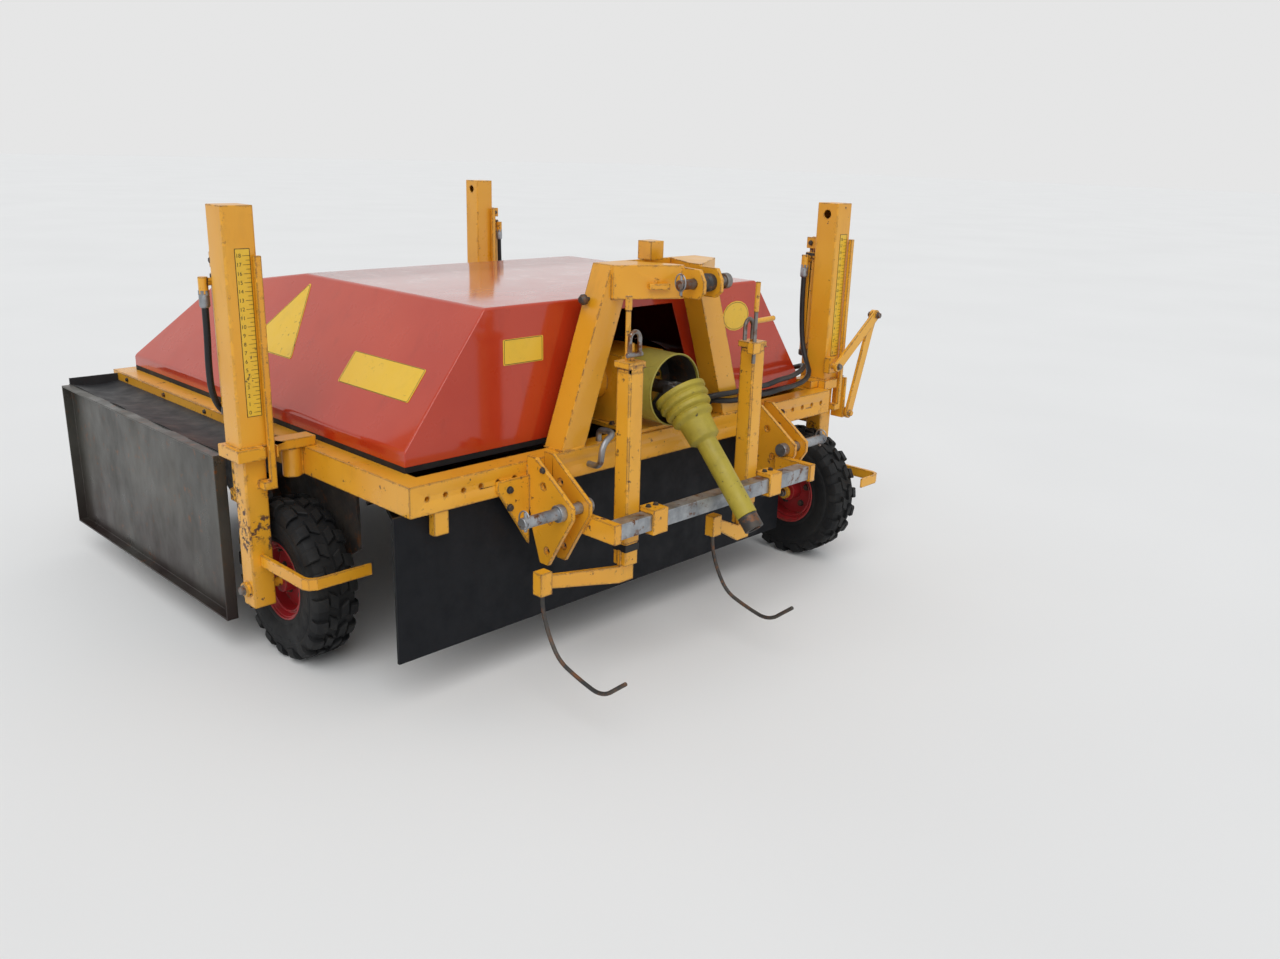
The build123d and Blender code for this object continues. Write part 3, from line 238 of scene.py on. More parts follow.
def rubber(name, colour, dust, grain=60, relief=0.35, rough=0.55, streak=(1, 1, 1), shine=0.3):
    """Dull rubber under an uneven film of dust."""
    n = Nodes(name)
    n.set("Specular IOR Level", shine)
    film = n.patches(6, 0.42, 0.75, 5, 0.65, stretch=streak, end=0.7)
    fine = n.patches(90, 0.35, 0.7, end=0.35)
    n.colour(n.mix(n.both(film, n.maths("ADD", fine, 0.5)), colour, dust))
    n.rough(n.patches(20, 0.3, 0.7, 4, start=rough - 0.08, end=rough + 0.2))
    n.bump(n.noise(grain, 4, 0.6), relief, 0.001)
    return n.material


def metal(name, colour, dull, rough, rust=0.0, streak=(1, 1, 1), metallic=0.85, foot=None):
    """Bare or plated steel with dull patches, spots of rust and, where asked, a darker foot."""
    n = Nodes(name)
    tone = n.mix(n.patches(16, 0.38, 0.66, 5, 0.6, stretch=streak), colour, dull)
    if rust:
        spots = n.patches(38, 0.6 - rust, 0.68 - rust, 6, 0.72)
        tone = n.mix(n.both(spots, n.patches(7, 0.42, 0.55)), tone, RUST_SPOT)
    if foot:
        low = n.both(n.ramp(n.height(), 0.34, 0.1), n.patches(5, 0.25, 0.6))
        tone = n.mix(low, tone, foot)
    n.colour(tone)
    n.set("Metallic", metallic)
    n.rough(n.patches(45, 0.3, 0.7, 4, 0.6, stretch=streak, start=rough - 0.1, end=rough + 0.18))
    n.bump(n.noise(110, 3, 0.6, streak), 0.2, 0.0008)
    return n.material


def plastic(name, colour, dirt, rough, grime, depth=0.75):
    """Plastic or film with smears of grime and small spots of dirt."""
    n = Nodes(name)
    smear = n.patches(13, 0.5 - grime, 0.72, 6, 0.7, end=depth)
    tone = n.mix(smear, colour, tuple(SMEAR_SHARE * c for c in colour))
    spots = n.both(n.patches(70, 0.62, 0.68, 4, 0.7), n.patches(8, 0.45, 0.6))
    n.colour(n.mix(spots, tone, dirt))
    n.rough(n.patches(25, 0.3, 0.7, 4, start=rough - 0.08, end=rough + 0.15))
    n.bump(n.noise(120), 0.2, 0.0007)
    return n.material


YELLOW = (0.73, 0.325, 0.013)
YELLOW_FADED = (0.80, 0.40, 0.03)
RED = (0.44, 0.030, 0.007)
RED_FADED = (0.50, 0.045, 0.012)
RIM_RED = (0.30, 0.010, 0.014)
RIM_RED_FADED = (0.36, 0.022, 0.024)
GREASE = (0.03, 0.025, 0.02)

MATERIALS = {
    "yellow": painted("yellow_paint", YELLOW, YELLOW_FADED, chips=0.015, wear=0.1),
    "yellow_worn": painted("yellow_paint_worn", YELLOW, YELLOW_FADED, chips=0.05, wear=0.15),
    "yellow_leg": painted("yellow_paint_leg", YELLOW, YELLOW_FADED, chips=0.03, wear=0.15, low_chips=0.08),
    "yellow_rusty": painted("yellow_paint_rusty", YELLOW, YELLOW_FADED, chips=0.1, wear=0.12),
    "red": painted("hood_paint", RED, RED_FADED, chips=-0.06, wear=0, rough=0.3, coat=1.0,
                   coat_rough=0.1, shine=0.12),
    "rim": painted("rim_paint", RIM_RED, RIM_RED_FADED, chips=0.03, wear=0.05, rough=0.4, coat=0.1),
    "skirt": rubber("skirt_rubber", (0.0045, 0.0055, 0.008), (0.016, 0.017, 0.02), grain=35, relief=0.25,
                    rough=0.5, streak=(1, 1, 0.3), shine=0.2),
    "cover": rubber("cover_rubber", (0.016, 0.017, 0.02), (0.045, 0.045, 0.046), grain=25, relief=0.5,
                    rough=0.5, streak=(1, 0.4, 1), shine=0.4),
    "hose": rubber("hose_rubber", (0.012, 0.013, 0.015), (0.06, 0.055, 0.05), grain=120, relief=0.3,
                   rough=0.4),
    "tyre": rubber("tyre_rubber", (0.006, 0.0065, 0.0075), (0.036, 0.034, 0.03), grain=90, relief=0.4,
                   rough=0.62),
    "seal": rubber("seal_rubber", (0.010, 0.010, 0.011), (0.05, 0.045, 0.04), grain=90, relief=0.3,
                   rough=0.6),
    "zinc": metal("zinc_plate", (0.42, 0.44, 0.46), (0.20, 0.215, 0.235), rough=0.42, rust=0.06),
    "pin": metal("bare_pin", (0.30, 0.29, 0.28), (0.14, 0.12, 0.11), rough=0.42, rust=0.12),
    "dark": metal("dark_steel", (0.035, 0.034, 0.034), (0.075, 0.062, 0.05), rough=0.5, rust=0.08,
                  metallic=0.3),
    "panel": metal("panel_sheet", (0.055, 0.053, 0.046), (0.09, 0.085, 0.073), rough=0.34, rust=0.03,
                   streak=(0.3, 0.3, 0.16), metallic=0.35, foot=(0.024, 0.014, 0.012)),
    "guard": plastic("guard_plastic", (0.40, 0.315, 0.03), GREASE, rough=0.5, grime=0.1),
    "plate": plastic("plate_film", (0.78, 0.49, 0.035), (0.10, 0.07, 0.03), rough=0.35, grime=0, depth=0.2),
    "marks": plastic("mark_ink", (0.012, 0.012, 0.012), (0.05, 0.04, 0.03), rough=0.45, grime=0, depth=0.4),
    "can": plastic("shield_plastic", (0.33, 0.28, 0.045), GREASE, rough=0.45, grime=0.12),
}

NODE_FINISH = {
    "hood": "red", "hood_seal": "seal", "front_skirt": "skirt", "rear_skirt": "skirt",
    "outlet_cover": "cover", "outlet_panel": "panel", "side_plates": "dark", "tunnel": "dark",
    "rotor": "dark", "rotor_bearings": "dark", "crossbar": "zinc", "front_loop": "zinc",
    "top_link_pin": "pin", "input_shaft": "pin", "pto_shaft": "dark", "pto_guard": "guard",
    "pto_can": "can", "gearbox": "yellow", "stand_left": "yellow_worn", "stand_right": "yellow_worn",
    "hitch_left": "yellow_worn", "hitch_right": "yellow_worn", "cylinder_right": "yellow_rusty",
    "main_frame": "yellow_worn", "feeler_arm_left": "yellow_worn", "feeler_arm_right": "yellow_worn",
}
GROUP_FINISH = {
    "tyre": "tyre", "rim": "rim", "hose": "hose", "leg": "yellow_leg", "hitch_pin": "zinc",
    "post": "yellow", "feeler": "dark", "cylinder": "yellow_worn",
}


def finish_of(node):
    if node in NODE_FINISH:
        return NODE_FINISH[node]
    for group, finish in GROUP_FINISH.items():
        if node.startswith(group):
            return finish
    return "yellow"


def dress_nodes():
    for node, obj in frame["nodes"].items():
        obj.data.materials.clear()
        obj.data.materials.append(MATERIALS[finish_of(node)])


# Pieces

BODY_OF = {node: body for body, nodes in frame["record"]["behaviour"]["bodies"].items() for node in nodes}
SMOOTH = radians(32)
FLAT = radians(0.5)
MERGE = 1e-5


def attach(obj, finish, body, node=None):
    obj.data.materials.clear()
    obj.data.materials.append(MATERIALS[finish])
    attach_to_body(obj, body)
    if node:
        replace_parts(obj, node)
    return obj


def object_from(data, name):
    obj = bpy.data.objects.new(name, data)
    bpy.context.collection.objects.link(obj)
    return obj


def shade(mesh_data):
    mesh_data.shade_smooth()
    mesh_data.set_sharp_from_angle(angle=SMOOTH)


def round_edges(obj, width, segments, weighted=False):
    bevel = obj.modifiers.new("bevel", "BEVEL")
    bevel.width = width
    bevel.segments = segments
    bevel.use_clamp_overlap = False
    bevel.harden_normals = True
    bevel.limit_method = "WEIGHT" if weighted else "ANGLE"
    bevel.angle_limit = SMOOTH
    return obj


def rounded(node, width=0.0016, segments=2, weight_of=None):
    """A copy of a CAD node whose sharp edges are broken, which stands for the node."""
    mesh_data = frame["nodes"][node].data.copy()
    bm = bmesh.new()
    bm.from_mesh(mesh_data)
    bmesh.ops.remove_doubles(bm, verts=bm.verts, dist=MERGE)
    bmesh.ops.dissolve_limit(bm, angle_limit=FLAT, verts=bm.verts, edges=bm.edges)
    if weight_of:
        layer = bm.edges.layers.float.new("bevel_weight_edge")
        for edge in bm.edges:
            if len(edge.link_faces) == 2 and edge.calc_face_angle() > SMOOTH:
                edge[layer] = weight_of(edge)
    bm.to_mesh(mesh_data)
    bm.free()
    shade(mesh_data)
    obj = object_from(mesh_data, node + "_form")
    round_edges(obj, width, segments, bool(weight_of))
    return attach(obj, finish_of(node), BODY_OF[node], node)


# A bolt's washer and its hexagon head, in shares of its size: the way along the bolt and the radius
WASHER_T = 0.2
WASHER = [(0, 0), (0, 1.05), (0.16, 1.05), (WASHER_T, 1), (WASHER_T, 0)]
HEAD = [(0, 0), (0, 0.9), (0.55, 0.9), (0.65, 0.78), (0.65, 0)]
WELD_R = 0.0032
WELD_RIPPLE = 0.004


class Piece:
    """Collects simple forms in one mesh. Places are vectors in the part's frame."""

    def __init__(self, name, finish, body="chassis"):
        self.name = name
        self.finish = finish
        self.body = body
        self.bm = bmesh.new()

    def ring(self, middle, radius, across, over, sides):
        """The points of a circle round the middle, in the plane of two directions."""
        return [self.bm.verts.new(middle + radius * (cos(turn) * across + sin(turn) * over))
                for turn in turns(sides)]

    def skin(self, first, second):
        """The faces between two loops of as many points."""
        count = len(first)
        for k in range(count):
            self.bm.faces.new([first[k], first[(k + 1) % count], second[(k + 1) % count], second[k]])

    def box(self, low, high):
        corners = [self.bm.verts.new((x, y, z)) for x in (low[0], high[0])
                   for y in (low[1], high[1]) for z in (low[2], high[2])]
        for face in ((0, 1, 3, 2), (4, 6, 7, 5), (0, 4, 5, 1), (2, 3, 7, 6), (0, 2, 6, 4), (1, 5, 7, 3)):
            self.bm.faces.new([corners[k] for k in face])

    def turned(self, start, axis, profile, sides=24):
        """A form turned about an axis, from pairs of the way along it and the radius."""
        axis = Vector(axis).normalized()
        across = axis.orthogonal().normalized()
        over = axis.cross(across)
        rings = []
        for along, radius in profile:
            middle = Vector(start) + axis * along
            if radius > MERGE:
                rings.append(self.ring(middle, radius, across, over, sides))
            else:
                rings.append([self.bm.verts.new(middle)])
        for first, second in zip(rings, rings[1:]):
            for k in range(sides):
                quad = [first[k % len(first)], first[(k + 1) % len(first)],
                        second[(k + 1) % len(second)], second[k % len(second)]]
                corners = list(dict.fromkeys(quad))
                if len(corners) > 2:
                    self.bm.faces.new(corners)

    def rod(self, start, end, radius, edge=0.001, sides=24):
        run = Vector(end) - Vector(start)
        length = run.length
        edge = min(edge, radius / 2, length / 3)
        self.turned(start, run, [(0, 0), (0, radius - edge), (edge, radius), (length - edge, radius),
                                 (length, radius - edge), (length, 0)], sides)

    def bolt(self, place, axis, size):
        """A washer and a hexagon head for the given thread size."""
        axis = Vector(axis).normalized()
        seat = Vector(place) + axis * WASHER_T * size
        self.turned(place, axis, [(along * size, radius * size) for along, radius in WASHER], 20)
        self.turned(seat, axis, [(along * size, radius * size) for along, radius in HEAD], 6)

    def tube(self, points, radius, sides=12, closed=False):
        points = [Vector(p) for p in points]
        count = len(points)
        rings = []
        across = None
        for k, point in enumerate(points):
            before = points[k - 1] if k or closed else point
            after = points[(k + 1) % count] if k < count - 1 or closed else point
            run = (after - before).normalized()
            across = (across - across.dot(run) * run if across else run.orthogonal()).normalized()
            rings.append(self.ring(point, radius, across, run.cross(across), sides))
        pairs = list(zip(rings, rings[1:]))
        if closed:
            pairs.append((rings[-1], rings[0]))
        for first, second in pairs:
            self.skin(first, second)
        if not closed:
            self.bm.faces.new(rings[0][::-1])
            self.bm.faces.new(rings[-1])

    def bead(self, points):
        """A weld along a line, with the ripple of its runs."""
        for start, end in zip(points, points[1:]):
            run = Vector(end) - Vector(start)
            steps = max(2, int(run.length / WELD_RIPPLE))
            ripple = [(run.length * k / steps, WELD_R * (0.8 + 0.25 * (k % 2))) for k in range(steps + 1)]
            self.turned(start, run, [(0, 0)] + ripple + [(run.length, 0)], 8)

    def prism(self, outline, depth):
        """A plate from its outline, thickened by the depth vector."""
        first = [self.bm.verts.new(p) for p in outline]
        second = [self.bm.verts.new(Vector(p) + Vector(depth)) for p in outline]
        self.bm.faces.new(first[::-1])
        self.bm.faces.new(second)
        self.skin(first, second)

    def done(self, bevel=0.0):
        bmesh.ops.recalc_face_normals(self.bm, faces=self.bm.faces)
        mesh_data = bpy.data.meshes.new(self.name)
        self.bm.to_mesh(mesh_data)
        self.bm.free()
        shade(mesh_data)
        obj = object_from(mesh_data, self.name)
        if bevel:
            round_edges(obj, bevel, 2)
        return attach(obj, self.finish, self.body)


# Hoses: the routes of the part's source. Each station has its post's middle and the side of its wheel.

POST_BASE = 0.575
PORT_Z = 0.925
PORT_OUT = 0.044
CYL_OFF = 0.068
FRONT_RUN = -0.016
HOSE_R = 0.008
STATIONS = {"left": (-0.9365, 0.4685, 1), "right": (0.8535, 0.0735, -1), "rear": (0.7385, 1.738, -1)}
FRAME_HALF = 0.802


def left_route():
    x = STATIONS["left"][0] - PORT_OUT
    y = STATIONS["left"][1] + CYL_OFF
    land_x = -FRAME_HALF + 0.027
    return [
        (x, y, PORT_Z),
        (x, y, POST_BASE + 0.265),
        (x - 0.003, y + 0.003, POST_BASE + 0.185),
        (x + 0.004, y + 0.014, POST_BASE + 0.11),
        (x + 0.042, y + 0.044, POST_BASE + 0.054),
        (x + 0.112, y + 0.084, POST_BASE + 0.048),
        (land_x - 0.026, y + 0.122, POST_BASE + 0.062),
        (land_x, y + 0.152, POST_BASE + 0.042),
        (land_x, y + 0.152, FRAME_TOP),
    ]


def right_route():
    x = STATIONS["right"][0] - PORT_OUT
    y = STATIONS["right"][1] + CYL_OFF
    land_x = 0.232
    return [
        (x, y, PORT_Z),
        (x, y, POST_BASE + 0.265),
        (x + 0.002, y - 0.003, POST_BASE + 0.18),
        (x - 0.004, y - 0.017, POST_BASE + 0.105),
        (x - 0.02, y - 0.05, POST_BASE + 0.053),
        (x - 0.058, y - 0.092, POST_BASE + 0.029),
        (x - 0.12, y - 0.12, POST_BASE + 0.017),
        (x - 0.2, FRONT_RUN + 0.022, POST_BASE + 0.013),
        (x - 0.28, FRONT_RUN + 0.008, POST_BASE + 0.019),
        (x - 0.36, FRONT_RUN, POST_BASE + 0.015),
        (x - 0.44, FRONT_RUN - 0.002, POST_BASE + 0.021),
        (x - 0.51, FRONT_RUN + 0.002, POST_BASE + 0.015),
        (land_x + 0.014, FRONT_RUN + 0.012, POST_BASE + 0.021),
        (land_x, 0.036, POST_BASE + 0.019),
        (land_x, 0.036, FRAME_TOP),
    ]


def rear_route():
    x = STATIONS["rear"][0] + CYL_OFF
    y = STATIONS["rear"][1] - PORT_OUT
    right_x, right_y, _ = STATIONS["right"]
    ledge_x = FRAME_HALF - 0.027
    ledge_z = FRAME_TOP + HOSE_R + 0.004
    down = [
        (x, y, PORT_Z),
        (x, y, POST_BASE + 0.265),
        (x + 0.002, y - 0.003, POST_BASE + 0.185),
        (x - 0.002, y - 0.018, POST_BASE + 0.105),
        (x - 0.014, y - 0.054, POST_BASE + 0.045),
        (ledge_x + 0.004, y - 0.114, ledge_z + 0.018),
    ]
    back = y - 0.194
    run = right_y + 0.18 - back
    sways = (-0.002, 0.002) * 4
    along = [(ledge_x + sway, back + run * k / 7, ledge_z - sway / 2) for k, sway in enumerate(sways)]
    bundle_x = right_x - PORT_OUT
    land_x = 0.196
    over = [
        (ledge_x - 0.006, right_y + 0.1, POST_BASE + 0.018),
        (ledge_x - 0.017, right_y + 0.038, POST_BASE + 0.038),
        (ledge_x - 0.034, right_y - 0.01, POST_BASE + 0.055),
        (bundle_x - 0.12, FRONT_RUN + 0.054, POST_BASE + 0.047),
        (bundle_x - 0.2, FRONT_RUN + 0.038, POST_BASE + 0.038),
        (bundle_x - 0.28, FRONT_RUN + 0.02, POST_BASE + 0.044),
        (bundle_x - 0.36, FRONT_RUN + 0.008, POST_BASE + 0.038),
        (bundle_x - 0.44, FRONT_RUN + 0.004, POST_BASE + 0.045),
        (bundle_x - 0.51, FRONT_RUN + 0.004, POST_BASE + 0.039),
        (land_x + 0.038, FRONT_RUN + 0.004, POST_BASE + 0.043),
        (land_x, 0.034, POST_BASE + 0.027),
        (land_x, 0.034, FRAME_TOP),
    ]
    return down + along + over


# Ends of a hose, as pairs of the way along its axis and the radius
TOP_FERRULE = [(0, 0), (0, 0.011), (0.004, 0.0122), (0.026, 0.0122), (0.03, 0.0095), (0.03, 0)]
TOP_NUT = [(-0.001, 0), (-0.001, 0.0125), (0.010, 0.0125), (0.010, 0)]
FOOT_NUT = [(0, 0), (0, 0.014), (0.008, 0.014), (0.008, 0)]
FOOT_FERRULE = [(0.008, 0.0118), (0.030, 0.0118), (0.034, 0.0095), (0.034, 0)]
UP = (0, 0, 1)
DOWN = (0, 0, -1)


def hose_line(name, route):
    """The hose as a smooth curve with a round section."""
    data = bpy.data.curves.new(name, "CURVE")
    data.dimensions = "3D"
    data.bevel_depth = HOSE_R
    data.bevel_resolution = 5
    data.resolution_u = 10
    data.use_fill_caps = True
    spline = data.splines.new("NURBS")
    spline.points.add(len(route) - 1)
    for point, place in zip(spline.points, route):
        point.co = (*at(*place), 1)
    spline.order_u = 3
    spline.use_endpoint_u = True
    return attach(object_from(data, name + "_line"), "hose", "chassis", name)


def hose_fittings(name, top, end):
    fitting = Piece(name + "_fitting", "zinc")
    fitting.turned(top, DOWN, TOP_FERRULE)
    fitting.turned(top, UP, TOP_NUT, 6)
    fitting.turned(end, UP, FOOT_NUT, 6)
    fitting.turned(end, UP, FOOT_FERRULE)
    return fitting.done()


def make_hose(name, route):
    top = at(*route[0])
    hose = hose_line(name, route)
    fittings = hose_fittings(name, top, at(*route[-1]))


def make_hoses():
    make_hose("hose_left", left_route())
    make_hose("hose_right", right_route())
    make_hose("hose_rear", rear_route())


# Rounded copies of the steel and sheet

PLAIN_NODES = ["rotor", "rotor_bearings", "side_plates", "tunnel", "hood_seal", "front_skirt", "rear_skirt",
               "feeler_left", "feeler_right", "front_loop"]
REPLACED_NODES = ["hood", "tyre_left", "tyre_right", "tyre_rear", "hose_left", "hose_right", "hose_rear",
                  "pto_guard", "outlet_cover"]
HOOD_Z0 = 0.564
HOOD_FOLD = 0.007
MOUTH_HALF = 0.27
MOUTH_DEPTH = 0.125
RIM_NEAR = 0.002
DEBURRED = 0.16
GUARD_EDGE = 0.0022


def hood_fold(edge):
    """The folds of the sheet are round, and its rim and mouth are only deburred."""
    a, b = (v.co for v in edge.verts)
    low = min(a.z, b.z) < HOOD_Z0 + RIM_NEAR
    at_mouth = all(abs(p.x - MID) < MOUTH_HALF and p.y < FRONT + MOUTH_DEPTH for p in (a, b))
    return DEBURRED if low or at_mouth else 1.0


def make_forms():
    for node in frame["nodes"]:
        if node not in PLAIN_NODES + REPLACED_NODES:
            rounded(node)
    rounded("hood", HOOD_FOLD, 4, hood_fold)
    rounded("pto_guard", GUARD_EDGE, 3)


# Tyres and rims

TREAD_R = 0.1995
TIP_R = 0.2093
LUG_COUNT = 20
LUG_STEPS = (-1, -0.82, 0.82, 1)
LUG_FLOOR = 0.2
LUG_CHAMFER = 0.0022
WHEEL_OFF = 0.101
AXLE_Z = 0.20958

# Sections of the tyre's one half: the way out from its middle and the radius
FLANK = [(0.044, 0.100), (0.049, 0.104), (0.0515, 0.112), (0.0505, 0.116), (0.0545, 0.124), (0.0578, 0.137),
         (0.0588, 0.152), (0.0582, 0.163), (0.0568, 0.165), (0.0572, 0.169), (0.0548, 0.182),
         (0.049, 0.192), (0.038, 0.197), (0.02, 0.1988)]
SHOULDER_LUG = [(0.029, 0.193), (0.030, 0.2086), (0.045, 0.2078), (0.0552, 0.201), (0.0589, 0.190),
                (0.0589, 0.176), (0.050, 0.172)]
MIDDLE_LUG = [(0.004, 0.196), (0.0045, TIP_R), (0.0245, TIP_R - 0.0005), (0.0255, 0.194)]
SIDE_RIB = [(0.054, 0.146), (0.0592, 0.150), (0.0592, 0.158), (0.054, 0.160)]
# Each kind of lug: its section, its turn ahead of the row, half its length as an angle, and its slant
LUGS = [(SHOULDER_LUG, 0, 0.078, 0.6), (MIDDLE_LUG, 0.035, 0.085, -3.2), (SIDE_RIB, 0, 0.05, 0)]

# Each roll of the rim: the way out from its middle, the radius and the thickness
RIM_ROLLS = [(0.0465, 0.1005, 0.0032), (0.0335, 0.0835, 0.003)]
DISC_HALF = 0.004
WHEEL_NUTS = 5
NUT_CIRCLE = 0.052
NUT_SIZE = 0.0105
VALVE_IN = 0.006
VALVE_CIRCLE = 0.074
VALVE_TURN = 1.2
VALVE_LENGTH = 0.026
VALVE_R = 0.0036
AXLE_END = 0.066
LEG_FACE = 0.0405
AXLE_NUT = 0.0125


def ring_point(centre, x, radius, turn):
    return centre + Vector((x, radius * cos(turn), radius * sin(turn)))


def lug(piece, centre, section, turn, half, skew):
    """A block of tread: its section in width and radius, swept over a short arc."""
    loops = []
    for step in LUG_STEPS:
        inset = LUG_CHAMFER if abs(step) == 1 else 0
        loop = []
        for x, radius in section:
            angle = turn + step * half + skew * x
            top = inset if radius > LUG_FLOOR else 0
            loop.append(piece.bm.verts.new(ring_point(centre, x, radius - top, angle)))
        loops.append(loop)
    piece.bm.faces.new(loops[0][::-1])
    piece.bm.faces.new(loops[-1])
    for first, second in zip(loops, loops[1:]):
        piece.skin(first, second)


def make_tyre(name, centre):
    tyre = Piece("tyre_" + name + "_form", "tyre", "wheel_" + name)
    left = [(-out, radius) for out, radius in FLANK]
    tyre.turned(centre, (1, 0, 0), left + [(0, TREAD_R)] + FLANK[::-1] + left[:1], 96)
    for k in range(LUG_COUNT):
        for sign, row in ((-1, 0), (1, 0.5)):
            turn = 2 * pi * (k + row) / LUG_COUNT
            for section, ahead, half, slant in LUGS:
                placed = [(sign * out, radius) for out, radius in section]
                lug(tyre, centre, placed, turn + ahead, half, sign * slant)
    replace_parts(tyre.done(), "tyre_" + name)


def make_wheel(name):
    """The tyre, the rolls and nuts of its rim, and the nuts at the axle's ends."""
    x, y, side = STATIONS[name]
    centre = at(x + side * WHEEL_OFF, y, AXLE_Z)
    make_tyre(name, centre)
    trim = Piece("rim_" + name + "_trim", "rim", "wheel_" + name)
    for sign in (-1, 1):
        for out, radius, thick in RIM_ROLLS:
            trim.tube([ring_point(centre, sign * out, radius, turn) for turn in turns(64)], thick, 8, True)
    trim.done()
    nuts = Piece("rim_" + name + "_nuts", "dark", "wheel_" + name)
    for turn in turns(WHEEL_NUTS, 0.3):
        for sign in (-1, 1):
            nuts.bolt(ring_point(centre, sign * DISC_HALF, NUT_CIRCLE, turn), (sign, 0, 0), NUT_SIZE)
    valve = ring_point(centre, -side * VALVE_IN, VALVE_CIRCLE, VALVE_TURN)
    nuts.rod(valve, valve + Vector((-side * VALVE_LENGTH, 0, 0)), VALVE_R)
    nuts.done()
    ends = Piece("axle_" + name + "_nuts", "pin", "leg_" + name)
    ends.bolt(centre + Vector((side * AXLE_END, 0, 0)), (side, 0, 0), AXLE_NUT)
    ends.bolt(at(x - side * LEG_FACE, y, AXLE_Z), (-side, 0, 0), AXLE_NUT)
    ends.done()


# Marks and plates

MARK_T = 0.0004
POST_HALF = 0.0385
SCALE_LOW = 0.65
SCALE_HIGH = 1.036
SCALE_LEFT = 0.0145
SCALE_RIGHT = 0.0215
SCALE_STEP = 0.01
BORDER = 0.0011
TICK_HALF = 0.0004
TICK_LONG = 0.018
TICK_SHORT = 0.011
NUMBER_IN = 0.0085
NUMBER_SIZE = 0.0125


def make_number(name, value, place):
    number = bpy.data.curves.new("number", "FONT")
    number.body = str(value)
    number.size = NUMBER_SIZE
    number.align_x = "CENTER"
    number.align_y = "CENTER"
    number.extrude = MARK_T / 2
    obj = object_from(number, "scale_%s_number_%d" % (name, value))
    obj.location = place
    obj.rotation_euler = (pi / 2, 0, 0)
    attach(obj, "marks", "chassis")


def make_scale(name):
    """The height scale on a post: a strip with a border, ticks and plain numbers."""
    x, y, _ = STATIONS[name]
    face = y - POST_HALF
    front = face - 2 * MARK_T
    left, right = x - SCALE_LEFT, x + SCALE_RIGHT
    strip = Piece("scale_" + name, "plate")
    strip.box(at(left, face - MARK_T, SCALE_LOW), at(right, face, SCALE_HIGH))
    strip.done()
    count = int((SCALE_HIGH - SCALE_LOW) / SCALE_STEP - 2)
    heights = [SCALE_LOW + SCALE_STEP + SCALE_STEP * k for k in range(count + 1)]
    # Each mark: its left and right, and its low and high end
    border = [(left, left + BORDER, SCALE_LOW, SCALE_HIGH), (right - BORDER, right, SCALE_LOW, SCALE_HIGH),
              (left, right, SCALE_LOW, SCALE_LOW + BORDER), (left, right, SCALE_HIGH - BORDER, SCALE_HIGH)]
    ticks = [(right - (TICK_SHORT if k % 2 else TICK_LONG), right, z - TICK_HALF, z + TICK_HALF)
             for k, z in enumerate(heights)]
    marks = Piece("scale_" + name + "_marks", "marks")
    for x0, x1, z0, z1 in border + ticks:
        marks.box(at(x0, front, z0), at(x1, face, z1))
    marks.done()
    for value, z in enumerate(heights[::2]):
        make_number(name, value, at(left + NUMBER_IN, face - MARK_T, z))


HOOD_HALF = 0.747
HOOD_LIP_Z = 0.599
SIDE_RUN = 0.238
SIDE_RISE = 0.309
HOOD_FRONT = 0.096
HOOD_LEAN = 0.004


def on_left_face(y, z, off):
    normal = Vector((-SIDE_RISE, 0, SIDE_RUN)).normalized()
    return at(-HOOD_HALF + (z - HOOD_LIP_Z) * SIDE_RUN / SIDE_RISE, y, z) + off * normal


def on_front_face(x, z, off):
    return at(x, HOOD_FRONT + (z - HOOD_LIP_Z) * HOOD_LEAN / SIDE_RISE - off, z)


def rounded_outline(corners, radius, steps=5):
    """An outline in two coordinates with its corners rounded."""
    outline = []
    count = len(corners)
    for k, corner in enumerate(corners):
        corner = Vector(corner)
        before = (Vector(corners[k - 1]) - corner).normalized() * radius
        after = (Vector(corners[(k + 1) % count]) - corner).normalized() * radius
        for j in range(steps + 1):
            t = j / steps
            outline.append(corner + before * (1 - t) ** 2 + after * t ** 2)
    return outline


PLATE_BACK = 0.0001
PLATE_FRONT = 0.0012
LINE_OUT = 0.0008
LINE_R = 0.0009
LINE_IN = 0.004


def make_plate(name, corners, radius, place):
    """A bare plate with a thin dark line inside its edge."""
    outline = rounded_outline(corners, radius)
    plate = Piece(name, "plate")
    back = [place(u, v, PLATE_BACK) for u, v in outline]
    plate.prism(back, place(*outline[0], PLATE_FRONT) - back[0])
    plate.done()
    middle = sum((Vector(c) for c in corners), Vector((0, 0))) / len(corners)
    line = [c + (middle - c).normalized() * LINE_IN for c in outline]
    edge = Piece(name + "_line", "marks")
    edge.tube([place(u, v, LINE_OUT) for u, v in line], LINE_R, 6, True)
    edge.done()


def make_plates():
    tall = [(0.745, 0.705), (0.985, 0.705), (0.985, 0.735), (0.865, 0.89)]
    low = [(0.18, 0.69), (0.49, 0.69), (0.49, 0.762), (0.18, 0.762)]
    front = [(-0.458, 0.765), (-0.332, 0.765), (-0.332, 0.828), (-0.458, 0.828)]
    oval = [(0.42 + 0.06 * cos(turn), 0.81 + 0.044 * sin(turn)) for turn in turns(16)]
    make_plate("plate_side_tall", tall, 0.012, on_left_face)
    make_plate("plate_side_low", low, 0.006, on_left_face)
    make_plate("plate_front", front, 0.004, on_front_face)
    make_plate("plate_round", oval, 0.004, on_front_face)


# Hitch and crossbar

